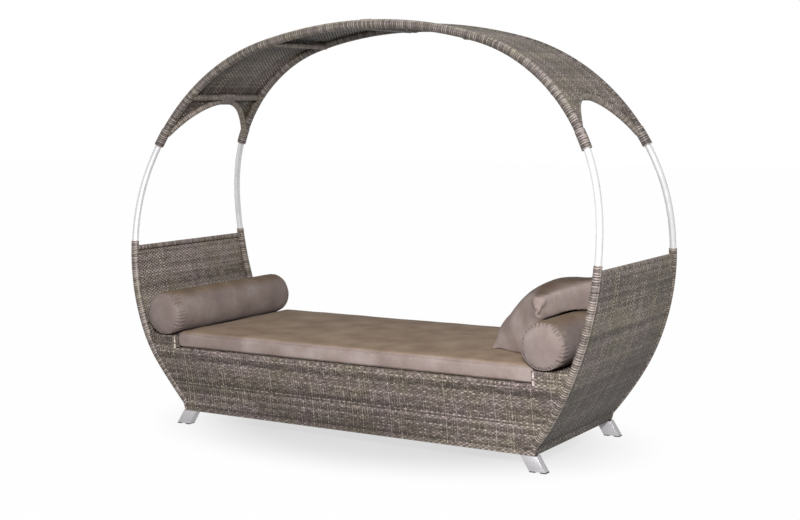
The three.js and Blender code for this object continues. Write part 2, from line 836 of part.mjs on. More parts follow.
// Bolsters: round cushions on the shoulders, each against the end of the mattress, their
// cloth gathered into pleats at each end disc
const bolsterHeight = shoulderHeight + gap + bolsterRadius;
const bolsterFacets = 2 * bolsterPleats;
function bolsterLoop(along, radius, pleat) {
  return Array.from({ length: bolsterFacets }, (_, n) => {
    const angle = (2 * Math.PI * n) / bolsterFacets;
    const reach = radius - (n % 2) * pleat;
    return new THREE.Vector3(reach * Math.cos(angle), along, reach * Math.sin(angle));
  });
}
const rimStart = bolsterLength / 2 - bolsterEndCrown;
const discRadius = bolsterRadius - bolsterRimRound;
const discShare = 0.6;
const discCrownShare = 0.65;
const rimShare = 0.3;
const endLoops = [
  [rimStart + bolsterEndCrown * discCrownShare, discRadius * discShare, 0],
  [rimStart, discRadius, 0],
  [
    rimStart - bolsterRimRound * rimShare,
    bolsterRadius - bolsterRimRound * rimShare,
    bolsterPleatDepth,
  ],
  [rimStart - bolsterRimRound, bolsterRadius, bolsterPleatDepth],
  [rimStart - bolsterPleatLength, bolsterRadius, 0],
];
const bolsterLoops = [
  ...endLoops.map(([along, radius, pleat]) => bolsterLoop(-along, radius, pleat)),
  ...endLoops
    .toReversed()
    .map(([along, radius, pleat]) => bolsterLoop(along, radius, pleat)),
];
const bolster = rings(
  new THREE.Vector3(0, -bolsterLength / 2, 0),
  bolsterLoops,
  new THREE.Vector3(0, bolsterLength / 2, 0),
);
const bolsterPast = Math.sqrt(bolsterRadius ** 2 - (bolsterHeight - mattressTop) ** 2);
const bolsterReach = mattressLength / 2 - mattressSideBulge + gap + bolsterPast;
ends.forEach(([end, x]) => {
  add(`bolster_${end}`, bolster, fabricMaterial).position.set(
    x * bolsterReach,
    -bolsterForward,
    bolsterHeight,
  );
});

// Throw pillow: knife-edged, with its lowest corner on the mattress and bent over the bolster
const pillowOver = bolsterRadius + pillowThickness / 2;
const pillowBendShares = [
  [-1, 1.033],
  [0.84, 1.1],
];
const pillowFootShare = -2.2;
const pillowSeatShare = 0.45;
const pillowBend = pillowBendShares.map(
  ([x, z]) =>
    new THREE.Vector2(bolsterReach + x * pillowOver, bolsterHeight + z * pillowOver),
);
const pillowFoot = new THREE.Vector2(
  bolsterReach + pillowFootShare * pillowOver,
  crownAt(pillowSeatShare) + gap,
);
const pillowLean = pillowBend[0].clone().sub(pillowFoot).normalize();
pillowFoot.y += (pillowLean.x * pillowEdge) / 2;
const pillowRoute = new THREE.QuadraticBezierCurve(pillowFoot, ...pillowBend);
const pillowPull = 0.07; // how far the sides draw in between the corners, as a share
const pillowDiagonal = Math.cos(pillowTurn) + Math.sin(pillowTurn);
const pillowMiddle = new THREE.Vector2();
function pillowPoint(u, v, face) {
  const [across, up] = [2 * u - 1, 2 * v - 1];
  const width = across * (1 - pillowPull * (1 - up * up));
  const length = up * (1 - pillowPull * (1 - across * across));
  const turned = new THREE.Vector2(width, length).rotateAround(pillowMiddle, pillowTurn);
  const climb = ((pillowDiagonal + turned.y) * pillowSize) / 2;
  const share = Math.min(1, climb / pillowRoute.getLength());
  const middle = pillowRoute.getPointAt(share);
  const tangent = pillowRoute.getTangentAt(share);
  const swell = Math.sqrt((1 - across ** 2) * (1 - up ** 2));
  const half = pillowEdge / 2 + ((pillowThickness - pillowEdge) / 2) * swell;
  const reach = (2 * face - 1) * half;
  return new THREE.Vector3(
    middle.x - tangent.y * reach,
    (turned.x * pillowSize) / 2 - pillowForward,
    middle.y + tangent.x * reach,
  );
}
add("throw_pillow", slab(pillowPoint, pillowCells, pillowCells), fabricMaterial);

export default daybed;
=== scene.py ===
import math

import bmesh
import bpy
from mathutils import Matrix, Vector, noise
from mathutils.bvhtree import BVHTree


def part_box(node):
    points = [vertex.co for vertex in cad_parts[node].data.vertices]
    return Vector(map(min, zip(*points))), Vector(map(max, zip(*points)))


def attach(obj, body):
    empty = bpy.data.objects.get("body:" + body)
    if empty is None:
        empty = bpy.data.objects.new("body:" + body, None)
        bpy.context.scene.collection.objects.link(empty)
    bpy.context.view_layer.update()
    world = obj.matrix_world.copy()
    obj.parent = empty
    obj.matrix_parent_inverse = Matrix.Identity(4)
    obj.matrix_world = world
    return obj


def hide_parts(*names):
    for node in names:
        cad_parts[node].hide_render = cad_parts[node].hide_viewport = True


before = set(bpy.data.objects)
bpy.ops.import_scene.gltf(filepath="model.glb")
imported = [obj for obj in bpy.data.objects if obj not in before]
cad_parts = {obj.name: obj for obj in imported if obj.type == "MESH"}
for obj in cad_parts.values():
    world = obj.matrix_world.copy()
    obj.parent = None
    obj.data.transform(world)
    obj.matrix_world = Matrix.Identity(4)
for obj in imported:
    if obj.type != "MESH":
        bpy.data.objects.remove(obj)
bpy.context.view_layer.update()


# Inner frame: bottom rails, bearer, studs, seat rails and slats of extruded aluminium box
# tube, cut to length and welded. It is left as it comes from the mill, a dull grey with
# faint lines along each tube.
MILL_LIGHT, MILL_DARK = "b9bcc0", "a3a6ab"
MILL_METAL, MILL_ROUGH, MILL_RELIEF = 0.85, 0.38, 0.00008
LINES_ALONG, LINES_ACROSS = 6.0, 900.0
SIDES = (("front", 1, -1), ("back", 1, 1))
ENDS = (("left", -1, 1), ("right", 1, 1))
CORNERS = [(f"{side}_{end}", x, y) for side, _, y in SIDES for end, x, _ in ENDS]


def paint(code):
    """The linear colour of a painter's hex code, as a shader wants it."""
    levels = [int(code[n : n + 2], 16) / 255 for n in (0, 2, 4)]
    linear = [c / 12.92 if c <= 0.04045 else ((c + 0.055) / 1.055) ** 2.4 for c in levels]
    return (*linear, 1.0)


class Wire:
    """A number that runs through a finish: sums on it become Math nodes."""

    def __init__(self, finish, socket):
        self.finish = finish
        self.socket = socket

    def sum(self, operation, first, second=None):
        values = {0: first} if second is None else {0: first, 1: second}
        return self.finish.node("ShaderNodeMath", {"operation": operation}, values)

    def __add__(self, other):
        return self.sum("ADD", self, other)

    def __radd__(self, other):
        return self.sum("ADD", other, self)

    def __sub__(self, other):
        return self.sum("SUBTRACT", self, other)

    def __rsub__(self, other):
        return self.sum("SUBTRACT", other, self)

    def __mul__(self, other):
        return self.sum("MULTIPLY", self, other)

    def __rmul__(self, other):
        return self.sum("MULTIPLY", other, self)

    def __pow__(self, other):
        return self.sum("POWER", self, other)

    def __abs__(self):
        return self.sum("ABSOLUTE", self)


class Finish:
    """A material, or the light of the room, that is put together node by node."""

    def __init__(self, owner, shader="Principled BSDF"):
        owner.use_nodes = True
        self.material = owner
        self.tree = owner.node_tree
        self.shader = self.tree.nodes[shader]

    def plug(self, socket, value):
        if isinstance(value, Wire):
            self.tree.links.new(value.socket, socket)
        else:
            socket.default_value = value

    def node(self, kind, settings, values, output=0):
        made = self.tree.nodes.new(kind)
        for name, value in settings.items():
            if name == "stops":
                ramp = made.color_ramp.elements
                while len(ramp) < len(value):
                    ramp.new(0.5)
                for stop, (place, code) in zip(ramp, value):
                    stop.position = place
                    stop.color = paint(code)
            else:
                setattr(made, name, value)
        for name, value in values.items():
            self.plug(made.inputs[name], value)
        return Wire(self, made.outputs[output])

    def set(self, **values):
        for name, value in values.items():
            self.plug(self.shader.inputs[name.replace("_", " ")], value)
        return self

    def place(self):
        return self.node("ShaderNodeTexCoord", {}, {}, "Object")

    def part(self, vector, axis):
        return self.node("ShaderNodeSeparateXYZ", {}, {"Vector": vector}, axis)

    def joined(self, x, y):
        return self.node("ShaderNodeCombineXYZ", {}, {0: x, 1: y})

    def stretched(self, x, y, z):
        scale = {"Vector": self.place(), "Scale": (x, y, z)}
        return self.node("ShaderNodeMapping", {}, scale)

    def cloud(self, vector, scale=1.0, detail=2.0, roughness=0.5):
        values = {"Vector": vector, "Scale": scale, "Detail": detail, "Roughness": roughness}
        return self.node("ShaderNodeTexNoise", {}, values)

    def shades(self, amount, *stops):
        return self.node("ShaderNodeValToRGB", {"stops": stops}, {"Fac": amount})

    def eased(self, value, start, end, low=0.0, high=1.0):
        values = {0: value, 1: start, 2: end, 3: low, 4: high}
        return self.node("ShaderNodeMapRange", {"interpolation_type": "SMOOTHSTEP"}, values)

    def blend(self, amount, first, second, how="MIX"):
        settings = {"data_type": "RGBA", "blend_type": how}
        return self.node("ShaderNodeMix", settings, {0: amount, 6: first, 7: second}, 2)

    def relief(self, height, depth):
        return self.node("ShaderNodeBump", {}, {"Height": height, "Distance": depth, "Strength": 1.0})


def mill_finish(name, lines):
    finish = Finish(bpy.data.materials.new(name))
    grain = finish.cloud(finish.stretched(*lines), 1.0, 3.0)
    mottle = finish.cloud(finish.place(), 14.0, 3.0)
    return finish.set(
        Base_Color=finish.shades(0.6 * grain + 0.4 * mottle, (0.35, MILL_DARK), (0.65, MILL_LIGHT)),
        Metallic=MILL_METAL,
        Roughness=MILL_ROUGH + 0.2 * mottle,
        Normal=finish.relief(grain, MILL_RELIEF),
    )


def refinish(finish, nodes):
    """Shows CAD pieces as they are, with a finish on them."""
    for name in nodes:
        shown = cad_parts[name].data.materials
        shown.clear()
        shown.append(finish.material)


mill_along_x = mill_finish("mill_aluminium_long", (LINES_ALONG, LINES_ACROSS, LINES_ACROSS))
mill_along_y = mill_finish("mill_aluminium_cross", (LINES_ACROSS, LINES_ALONG, LINES_ACROSS))
refinish(mill_along_x, [f"{kind}_rail_{side}" for kind in ("bottom", "seat") for side, _, _ in SIDES])
refinish(mill_along_y, ["bottom_rail_left", "bottom_rail_right", "bottom_bearer"])
refinish(mill_along_y, [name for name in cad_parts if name.startswith(("seat_slat", "stud_"))])


# Feet: four short lengths of flat aluminium box tube, splayed outwards, brushed along their
# length and clear anodised. The edges of the extrusion are slightly round.
FOOT_EDGE, FOOT_LINES = 0.0012, (1400.0, 1400.0, 12.0)
BRUSHED_LIGHT, BRUSHED_DARK, BRUSHED_RELIEF = "bfbdbd", "a7a5a6", 0.00005
CAD_WELD = 0.00002
FLAT_ANGLE, SHARP_ANGLE = math.radians(1), math.radians(25)
ROUND_FACE_CORNERS = 7


def cad_copy(node):
    """A copy of a CAD piece, its loose triangles merged."""
    shape = bmesh.new()
    shape.from_mesh(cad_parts[node].data)
    bmesh.ops.remove_doubles(shape, verts=shape.verts, dist=CAD_WELD)
    return shape


def linked(name, data):
    """A new object of the scene that shows this data."""
    made = bpy.data.objects.new(name, data)
    bpy.context.scene.collection.objects.link(made)
    return made


def meshed(name, shape):
    """A new object with a bmesh as its mesh."""
    mesh = bpy.data.meshes.new(name)
    shape.to_mesh(mesh)
    shape.free()
    return linked(name, mesh)


def finished(name, shape, finish, node="", body="base"):
    """Turns a bmesh into a piece that rides on a body, in place of a CAD node if one is named."""
    for face in shape.faces:
        face.smooth = len(face.verts) < ROUND_FACE_CORNERS
    made = meshed(name, shape)
    made.data.materials.append(finish.material)
    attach(made, body)
    if node:
        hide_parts(node)


def rounded(name, node, width, finish):
    """A CAD piece with its sharp edges rounded."""
    shape = cad_copy(node)
    bmesh.ops.dissolve_limit(shape, angle_limit=FLAT_ANGLE, verts=shape.verts, edges=shape.edges)
    bmesh.ops.bevel(
        shape,
        geom=[edge for edge in shape.edges if edge.calc_face_angle(0.0) > SHARP_ANGLE],
        offset=width,
        segments=2,
        profile=0.5,
        affect="EDGES",
        clamp_overlap=True,
        material=-1,
    )
    finished(name, shape, finish, node)


def brushed_finish(name, lines, light, dark, metal, rough):
    finish = Finish(bpy.data.materials.new(name))
    grain = finish.cloud(finish.stretched(*lines), 1.0, 4.0, 0.7)
    smudge = finish.cloud(finish.place(), 22.0, 3.0)
    return finish.set(
        Base_Color=finish.shades(0.65 * grain + 0.35 * smudge, (0.3, dark), (0.7, light)),
        Metallic=metal,
        Roughness=rough + 0.14 * smudge,
        Normal=finish.relief(grain, BRUSHED_RELIEF),
    )


foot_finish = brushed_finish(
    "brushed_foot", FOOT_LINES, BRUSHED_LIGHT, BRUSHED_DARK, metal=0.55, rough=0.3
)
for spot, _, _ in CORNERS:
    rounded(f"foot_{spot}_tube", f"foot_{spot}", FOOT_EDGE, foot_finish)


# Foot plugs: dark polypropylene plugs pressed into the foot tubes, each with two pads that
# stand on the floor. Moulded with a fine matt grain and worn a little in patches.
PAD_DARK, PAD_WORN = "262627", "4a4a4b"
PAD_EDGE, PAD_RELIEF = 0.0009, 0.0001
pad_finish = Finish(bpy.data.materials.new("moulded_pad"))
pad_dust = pad_finish.cloud(pad_finish.place(), 60.0, 4.0)
pad_grain = pad_finish.cloud(pad_finish.place(), 1800.0, 2.0)
pad_finish.set(
    Base_Color=pad_finish.shades(pad_dust, (0.4, PAD_DARK), (0.75, PAD_WORN)),
    Roughness=0.55 + 0.25 * pad_dust,
    Normal=pad_finish.relief(pad_grain, PAD_RELIEF),
)
for spot, _, _ in CORNERS:
    node = f"foot_pad_{spot}"
    rounded(f"{node}_moulding", node, PAD_EDGE, pad_finish)


# Corner posts: bent tube wrapped tightly in flat synthetic strand, from the bottom rails up
# past the end panels, where each ends as an open socket. Light and dark strands take turns.
WIDEST_HEIGHT = 0.9235
HULL_RADIUS, SHOULDER_RADIUS = 1.273, 0.895
CROWN_TURN, SHOULDER_TURN = math.radians(15.3), math.radians(84.4)
SEAT_HALF_WIDTH = 0.446
HALF_WIDTH_SHARES = (0.875, 0.917, 0.992, 0.994, 0.963, 0.91, 0.833, 0.741, 0.657, 0.57, 0.46)
SHOULDER_SHELF = 0.1819
POST_RADIUS, POST_TOP, POST_FACETS, POST_LEAN = 0.018, 0.885, 16, 0.0022
SOCKET_RADIUS, SOCKET_SHOWN = 0.0157, 0.06
WRAP_PITCH, WRAP_RIDGE, WRAP_CLEAR = 0.0052, 0.0008, 0.001
GAP = 0.0003
PATH_STEP, WELD = 0.001, 0.00001
LEAN_RINGS = 3
WRAP_TONES, WRAP_SPREAD = ("3f3731", "6a6059", "aaa097"), 0.5
# Painted highlight on each post: where round it the light line runs, how wide it is and how much
# lighter.
POST_PAINTED_HIGHLIGHT = {"left": math.radians(306), "right": math.radians(76)}
POST_HIGHLIGHT_REACH, POST_HIGHLIGHT_LIFT = 0.0048, 0.8
# Painted shade on woven strand: how much darker it is at its edges and where it dips behind a stake.
DIP_SHADE, EDGE_SHADE = 0.97, 0.5
GROOVES, STRAND_RELIEF = 4, 0.00022
# The x span over which painted light grows towards the +x end, and the heights over which painted
# shade fades out upwards.
LIGHT_GRADIENT_REACH, GROUND_SHADE_HEIGHTS = (0.1, 0.85), (0.05, 0.55)
depthwise, lengthwise = Vector((0, 1, 0)), Vector((1, 0, 0))
shoulder_low, shoulder_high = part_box("shoulder_right")
shoulder_height = shoulder_high.z
seat_height = shoulder_low.z
recess_half_length = shoulder_low.x


def on_circle(centre, radius, heading):
    return (centre[0] + radius * math.sin(heading), centre[1] + radius * math.cos(heading))


hull_span = math.sqrt(HULL_RADIUS**2 - (WIDEST_HEIGHT - shoulder_height) ** 2)
hull_centre = (recess_half_length + SHOULDER_SHELF - hull_span, WIDEST_HEIGHT)
shoulder_centre = on_circle(hull_centre, HULL_RADIUS - SHOULDER_RADIUS, SHOULDER_TURN)
crown_radius = SHOULDER_RADIUS + shoulder_centre[0] / math.sin(CROWN_TURN)
crown_centre = on_circle(shoulder_centre, SHOULDER_RADIUS - crown_radius, CROWN_TURN)
crown_height = crown_centre[1] + crown_radius
HOOP_ARCS = (
    (CROWN_TURN, crown_centre, crown_radius),
    (SHOULDER_TURN, shoulder_centre, SHOULDER_RADIUS),
    (math.pi, hull_centre, HULL_RADIUS),
)


def line_at(heading, offset=0.0):
    """X and Z of the hoop line where it has turned down that far from the crown."""
    centre, radius = next(arc[1:] for arc in HOOP_ARCS if heading <= arc[0])
    return on_circle(centre, radius + offset, heading)


def heading_at(height, offset=0.0):
    centre, radius = next(arc[1:] for arc in HOOP_ARCS if line_at(arc[0], offset)[1] <= height)
    return math.acos((height - centre[1]) / (radius + offset))


def length_to(heading):
    """Length along the hoop line from the crown to a heading."""
    total = start = 0.0
    for end, _, radius in HOOP_ARCS:
        total += (min(heading, end) - start) * radius
        if heading <= end:
            return total
        start = end
    return total


def heading_along(length):
    start = 0.0
    for end, _, radius in HOOP_ARCS:
        if length <= (end - start) * radius:
            return start + length / radius
        length -= (end - start) * radius
        start = end
    return math.pi


def half_width_at(height):
    """Half the width across the hoops: a smooth curve through the shares, floor to crown."""
    place = max(0.0, min(1.0, height / crown_height)) * (len(HALF_WIDTH_SHARES) - 1)
    n = min(int(place), len(HALF_WIDTH_SHARES) - 2)
    t = place - n
    a, b = HALF_WIDTH_SHARES[n : n + 2]
    before = HALF_WIDTH_SHARES[n - 1] if n else 2 * a - b
    after = HALF_WIDTH_SHARES[n + 2] if n + 2 < len(HALF_WIDTH_SHARES) else 2 * b - a
    leave, arrive = (b - before) / 2, (after - a) / 2
    bend = (3 * (b - a) - 2 * leave - arrive) * t**2 + (2 * (a - b) + leave + arrive) * t**3
    return SEAT_HALF_WIDTH * (a + leave * t + bend)


def hoop_point(length):
    x, z = line_at(heading_along(length))
    return Vector((x, half_width_at(z), z))


def sealed(shape):
    """Merges the seam of a grid that was rolled up, closes its ends and turns it outwards."""
    bmesh.ops.remove_doubles(shape, verts=shape.verts, dist=WELD)
    edge = [e for e in shape.edges if e.is_boundary]
    bmesh.ops.holes_fill(shape, edges=edge, sides=0)
    bmesh.ops.recalc_face_normals(shape, faces=shape.faces)
    return shape


def tube_along(path, stations, side, facets, lean=0.0):
    """A closed tube through rings: stations are (distance, radius, strand number)."""
    shape = bmesh.new()
    rings = len(stations) - 1
    bmesh.ops.create_grid(shape, x_segments=rings, y_segments=facets, size=0.5)
    frames = []
    for distance, radius, _ in stations:
        tangent = (path(distance + PATH_STEP) - path(distance - PATH_STEP)).normalized()
        across = (side - tangent * side.dot(tangent)).normalized()
        frames.append((path(distance), tangent, across, tangent.cross(across), radius))
    uv = shape.loops.layers.uv.new("strand")
    spots = {}
    for vertex in shape.verts:
        ring = round((vertex.co.x + 0.5) * rings)
        facet = round((vertex.co.y + 0.5) * facets)
        spots[vertex.index] = (ring, facet)
        centre, tangent, across, up, radius = frames[ring]
        angle = math.tau * facet / facets
        slant = lean * math.cos(angle) * min(1.0, ring / LEAN_RINGS, (rings - ring) / LEAN_RINGS)
        out = across * math.cos(angle) + up * math.sin(angle)
        vertex.co = centre + out * radius + tangent * slant
    for face in shape.faces:
        for loop in face.loops:
            ring, facet = spots[loop.vert.index]
            loop[uv].uv = (math.tau * facet / facets * frames[ring][4], stations[ring][2])
    return sealed(shape)


def wrapped(start, end, radius, pitch=WRAP_PITCH, ridge=WRAP_RIDGE):
    """Stations of a tube wrapped in strand: each turn is a groove and a rounded back."""
    turns = max(1, round(abs(end - start) / pitch))
    step = (end - start) / turns
    back = ((0.02, -ridge), (0.3, 0.0), (0.7, 0.0), (0.98, -ridge))
    return [
        (start + (turn + share) * step, radius + ridge / 2 + lift, turn + share)
        for turn in range(turns)
        for share, lift in back
    ]


def turned(shape, x, y):
    """A copy of a shape turned over for another corner."""
    copy = shape.copy()
    bmesh.ops.scale(copy, vec=(x, y, 1), verts=copy.verts)
    bmesh.ops.recalc_face_normals(copy, faces=copy.faces)
    return copy


def laid(spots, slot, *layers):
    """Pieces at each corner, end or side: {} in their names stands for which of them it is.

    A layer is a shape, its finish or one for each end, a name, and the node it replaces.
    """
    for spot, x, y in spots:
        for shape, finish, name, node in layers:
            shown = finish[spot.split("_")[-1]] if isinstance(finish, dict) else finish
            finished(name.format(spot), turned(shape, x, y), shown, node.format(spot))
    for shape, _, _, _ in layers:
        shape.free()


def strand_finish(
    name, colours, spread, lone=0.0, rough=0.42, painted_highlight=None, patches=0.8, turns=0.0,
    ground_shade=0.0, light_gradient=0.0,
):
    """Extruded resin strand: fine grooves along it, its tone changing from strand to strand.

    lone turns a few strands much lighter, and turns makes light and dark ones take turns.
    A painted highlight can run along a wrap: the distance round it, how far it reaches, and
    how much lighter it is. Painted shade can darken it towards the ground, and painted light
    can keep the +x end lighter than the rest.
    """
    finish = Finish(bpy.data.materials.new(name))
    uv = finish.node("ShaderNodeUVMap", {"uv_map": "strand"}, {})
    along, number = finish.part(uv, 0), finish.part(uv, 1)
    strand = number.sum("FLOOR", number)
    across = number - strand
    chance = finish.node("ShaderNodeTexWhiteNoise", {"noise_dimensions": "1D"}, {"W": strand + 0.5})
    drift = finish.cloud(finish.joined(along * 38.0, strand * 1.93), 1.0, 3.0, 0.6)
    bands = finish.cloud(finish.stretched(0.7, 0.7, 13.0), 1.0, 3.0)
    mix = spread * chance + lone * chance**14.0 + (0.5 + patches) * drift + patches * bands
    mix = mix - (0.5 * spread + patches - 0.25)
    if turns:
        mix = mix + turns * strand.sum("MODULO", strand, 2.0) - 0.5 * turns
    # Painted highlight: a light line along the wrap at one distance round it, where a lamp's
    # highlight would fall.
    if painted_highlight is not None:
        middle, reach, lift = painted_highlight
        highlight_mask = 1.0 - abs(along - middle) * (1 / reach)
        mix = mix + highlight_mask.sum("MAXIMUM", highlight_mask, 0.0) * (0.5 * lift + lift * chance)
    # Painted light: the -x end is made darker and the +x end kept lighter, as the lamps fall.
    if light_gradient:
        mix = mix + light_gradient * finish.eased(finish.part(finish.place(), 0), *LIGHT_GRADIENT_REACH) - light_gradient
    tone = finish.shades(mix, *zip((0.2, 0.5, 0.82), colours))
    clumps = finish.cloud(finish.place(), 7.0, 3.0)
    hue = finish.shades(clumps, (0.36, "f4eef2"), (0.5, "f3f0ec"), (0.64, "eeeede"))
    # Painted shade: darker at each strand's edges, where rows meet, and where the strand dips behind
    # a stake.
    dip = finish.node("ShaderNodeAttribute", {"attribute_name": "dip"}, {}, "Fac")
    shade = 1.0 - EDGE_SHADE * abs(2.0 * across - 1.0) ** 4.0 - DIP_SHADE * dip**2.0
    # Painted shade: darker towards the ground.
    if ground_shade:
        unshaded = finish.eased(finish.part(finish.place(), 2), *GROUND_SHADE_HEIGHTS)
        shade = shade * (1.0 - ground_shade + ground_shade * unshaded)
    painted_shade_colour = finish.node("ShaderNodeCombineColor", {}, {0: shade, 1: shade, 2: shade})
    wave = across * (math.tau * GROOVES)
    grain = finish.cloud(finish.joined(along * 90.0, number * 11.0), 1.0, 3.0)
    return finish.set(
        Base_Color=finish.blend(1.0, finish.blend(1.0, tone, hue, "MULTIPLY"), painted_shade_colour, "MULTIPLY"),
        Roughness=rough + 0.22 * grain,
        Normal=finish.relief(0.35 * wave.sum("SINE", wave) + grain, STRAND_RELIEF),
        Specular_IOR_Level=0.5,
    )


wrap_finish = strand_finish("wrapped_strand", WRAP_TONES, WRAP_SPREAD, patches=0.2, turns=0.35)
# Each post gets its own finish with a painted highlight down the side turned towards the lamps.
post_finish = {}
for end, angle in POST_PAINTED_HIGHLIGHT.items():
    painted_highlight = (angle * POST_RADIUS, POST_HIGHLIGHT_REACH, POST_HIGHLIGHT_LIFT)
    post_finish[end] = strand_finish(
        f"post_strand_{end}", WRAP_TONES, WRAP_SPREAD, painted_highlight=painted_highlight, patches=0.2, turns=0.4
    )
post_foot = length_to(heading_at(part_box("corner_post_front_right")[0].z + WRAP_CLEAR))
post_top = length_to(heading_at(POST_TOP))
post_stations = [
    (post_top + SOCKET_SHOWN, SOCKET_RADIUS, 0.5),
    (post_top, SOCKET_RADIUS, 0.5),
    *wrapped(post_top, post_foot, POST_RADIUS),
]
post = tube_along(hoop_point, post_stations, depthwise, POST_FACETS, POST_LEAN)
laid(CORNERS, "wrapped_strand", (post, post_finish, "corner_post_{}_wrap", "corner_post_{}"))


# Side panels: resin strand woven row by row, over one stake and under the next, across the
# long sides of the frame. The stakes run up and down and show where a strand dips behind.
STRAND_WIDTH, STRAND_THICKNESS, ROW_PITCH = 0.00755, 0.0026, 0.0075
STAKE_SPACING, STAKE_WIDTH, STAKE_THICKNESS = 0.0135, 0.0042, 0.003
WEAVE_SWING, STRAND_STIR, STAKE_STIR = 0.0013, 0.00012, 0.0012
SKIN_OUTSIDE, WEAVE_DEPTH = 0.014, 0.0042
SKIRT_TOP, SKIRT_TAPER = 0.113, 0.01
SIDE_INSET, SKIRT_OUTSET = 0.011, 0.009
SLOPE_STEP, STRAND_MARGIN = 0.004, 0.04
STRAND_SECTION = (
    (-0.5, -0.45), (-0.5, 0.2), (-0.3, 0.5), (0.3, 0.5), (0.5, 0.2), (0.5, -0.45), (-0.5, -0.45),
)
STAKE_SECTION = ((-0.5, 0.0), (0.0, 0.5), (0.5, 0.0), (0.0, -0.5), (-0.5, 0.0))
STAKE_SLIDES = (0, 0.25, -0.25, 0.5, -0.5, 0.75, -0.75)


def wander(*place):
    """A value that drifts between about -1 and 1 from place to place."""
    return noise.noise(Vector(place))


def strands(count, along, section, spot, keep):
    """Parallel strands: spot(n, s, across, lift) places them, keep(n, s) trims station s."""
    shape = bmesh.new()
    corners = len(section)
    x_steps, y_steps = len(along) - 1, count * corners - 1
    bmesh.ops.create_grid(shape, x_segments=x_steps, y_segments=y_steps, size=0.5)
    uv = shape.loops.layers.uv.new("strand")
    dip = shape.verts.layers.float.new("dip")
    trims = [[keep(n, s) for s in along] for n in range(count)]
    here = {}
    for vertex in shape.verts:
        station = round((vertex.co.x + 0.5) * x_steps)
        n, corner = divmod(round((vertex.co.y + 0.5) * y_steps), corners)
        here[vertex.index] = (n, corner, station)
        vertex.co, vertex[dip] = spot(n, station, trims[n][station][0], *section[corner])
    gone = []
    for face in shape.faces:
        marks = [here[vertex.index] for vertex in face.verts]
        if len({mark[0] for mark in marks}) > 1 or not any(trims[m[0]][m[2]][1] for m in marks):
            gone.append(face)
            continue
        for loop in face.loops:
            n, corner, station = here[loop.vert.index]
            share = STRAND_MARGIN + (1 - 2 * STRAND_MARGIN) * (section[corner][0] + 0.5)
            loop[uv].uv = (trims[n][station][0], n + share)
    bmesh.ops.delete(shape, geom=gone, context="FACES")
    return sealed(shape)


def weave(surface, limits, length, height, spacing, pitch, seed):
    """Rows of strand and the stakes they pass, on surface(along, up) -> point, outward.

    limits(up) gives the least and greatest distance from the middle that the panel covers.
    """
    rows = round(height / pitch)
    pitch = height / rows
    width = pitch * STRAND_WIDTH / ROW_PITCH
    stakes = 2 * math.ceil(length / 2 / spacing) + 1
    middle = stakes // 2
    tall = max(4, rows // 2)

    def trim(distance, up):
        inner, outer = limits(up)
        size = min(max(abs(distance), inner), outer)
        return math.copysign(size, distance), inner <= abs(distance) <= outer

    def row_trim(n, distance):
        return trim(distance, (n + 0.5) * pitch)

    def row_spot(n, station, place, across, lift):
        over = 1 if (station + n) % 2 else -1
        stir = wander(place * 17.0, n * 1.7, seed)
        point, out = surface(place, (n + 0.5) * pitch + across * width + STRAND_STIR * stir)
        rise = over * WEAVE_SWING * (1 + 0.25 * stir) + lift * STRAND_THICKNESS
        return point + out * rise, float(over < 0)

    def stake_trim(n, level):
        """Slides the end of a stake back to where the panel ends."""
        distance = (n - middle) * spacing
        for slide in STAKE_SLIDES:
            up = min(max(level + slide * height / tall, 0.0), height)
            if trim(distance, up)[1]:
                return up, slide == 0
        return level, False

    def stake_spot(n, station, place, across, lift):
        stir = wander(n * 3.1, place * 9.0, seed + 5.0)
        along = (n - middle) * spacing + across * STAKE_WIDTH + STAKE_STIR * stir
        point, out = surface(along, place)
        return point + out * lift * STAKE_THICKNESS, 0.0

    distances = [(n - middle) * spacing for n in range(stakes)]
    levels = [height * n / tall for n in range(tall + 1)]
    return (
        strands(rows, distances, STRAND_SECTION, row_spot, row_trim),
        strands(stakes, levels, STAKE_SECTION, stake_spot, stake_trim),
    )


def panels(spots, slot, shapes, finish, name, node):
    """Lays woven panels: the rows take a CAD panel's place, and the stakes go with them."""
    rows, stakes = shapes
    stakes_name = name.replace("weave", "stakes")
    laid(spots, slot, (rows, finish, name, node), (stakes, stake_finish, stakes_name, ""))


def skirt_reach(height, offset):
    """Half length of the hull at a height: along the hoop line, then the tapered skirt."""
    if height >= SKIRT_TOP:
        return line_at(heading_at(height, offset), offset)[0]
    top = line_at(heading_at(SKIRT_TOP, offset), offset)[0]
    return top - SKIRT_TAPER * (SKIRT_TOP - height) / (SKIRT_TOP - wicker_bottom)


# Painted shade towards the ground and painted light towards the +x end, on the side panels,
# shoulders, deck and recess rims.
row_finish = strand_finish(
    "woven_strand", ("3f352e", "796d65", "c1b6ac"), spread=0.36, ground_shade=0.24, light_gradient=0.1
)
stake_finish = strand_finish(
    "stake_strand", ("483f38", "70665e", "bdb2a7"), spread=0.25, lone=0.32
)
panel_low, panel_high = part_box("side_panel_back")
wicker_bottom = panel_low.z


def side_surface(along, up):
    height = wicker_bottom + up
    y = half_width_at(height) + SKIN_OUTSIDE - WEAVE_DEPTH
    slope = half_width_at(height + SLOPE_STEP) - half_width_at(height - SLOPE_STEP)
    return Vector((along, y, height)), Vector((0, 2 * SLOPE_STEP, -slope)).normalized()


def side_limits(up):
    height = wicker_bottom + up
    outer = skirt_reach(height, -SIDE_INSET if height > SKIRT_TOP else SKIRT_OUTSET)
    return (recess_half_length + GAP if height > seat_height - GAP else 0.0), outer


side_height = shoulder_height - wicker_bottom
side_panel = weave(
    side_surface, side_limits, 2 * panel_high.x, side_height, STAKE_SPACING, ROW_PITCH, seed=1
)
panels(SIDES, "woven_strand", side_panel, row_finish, "side_weave_{}", "side_panel_{}")


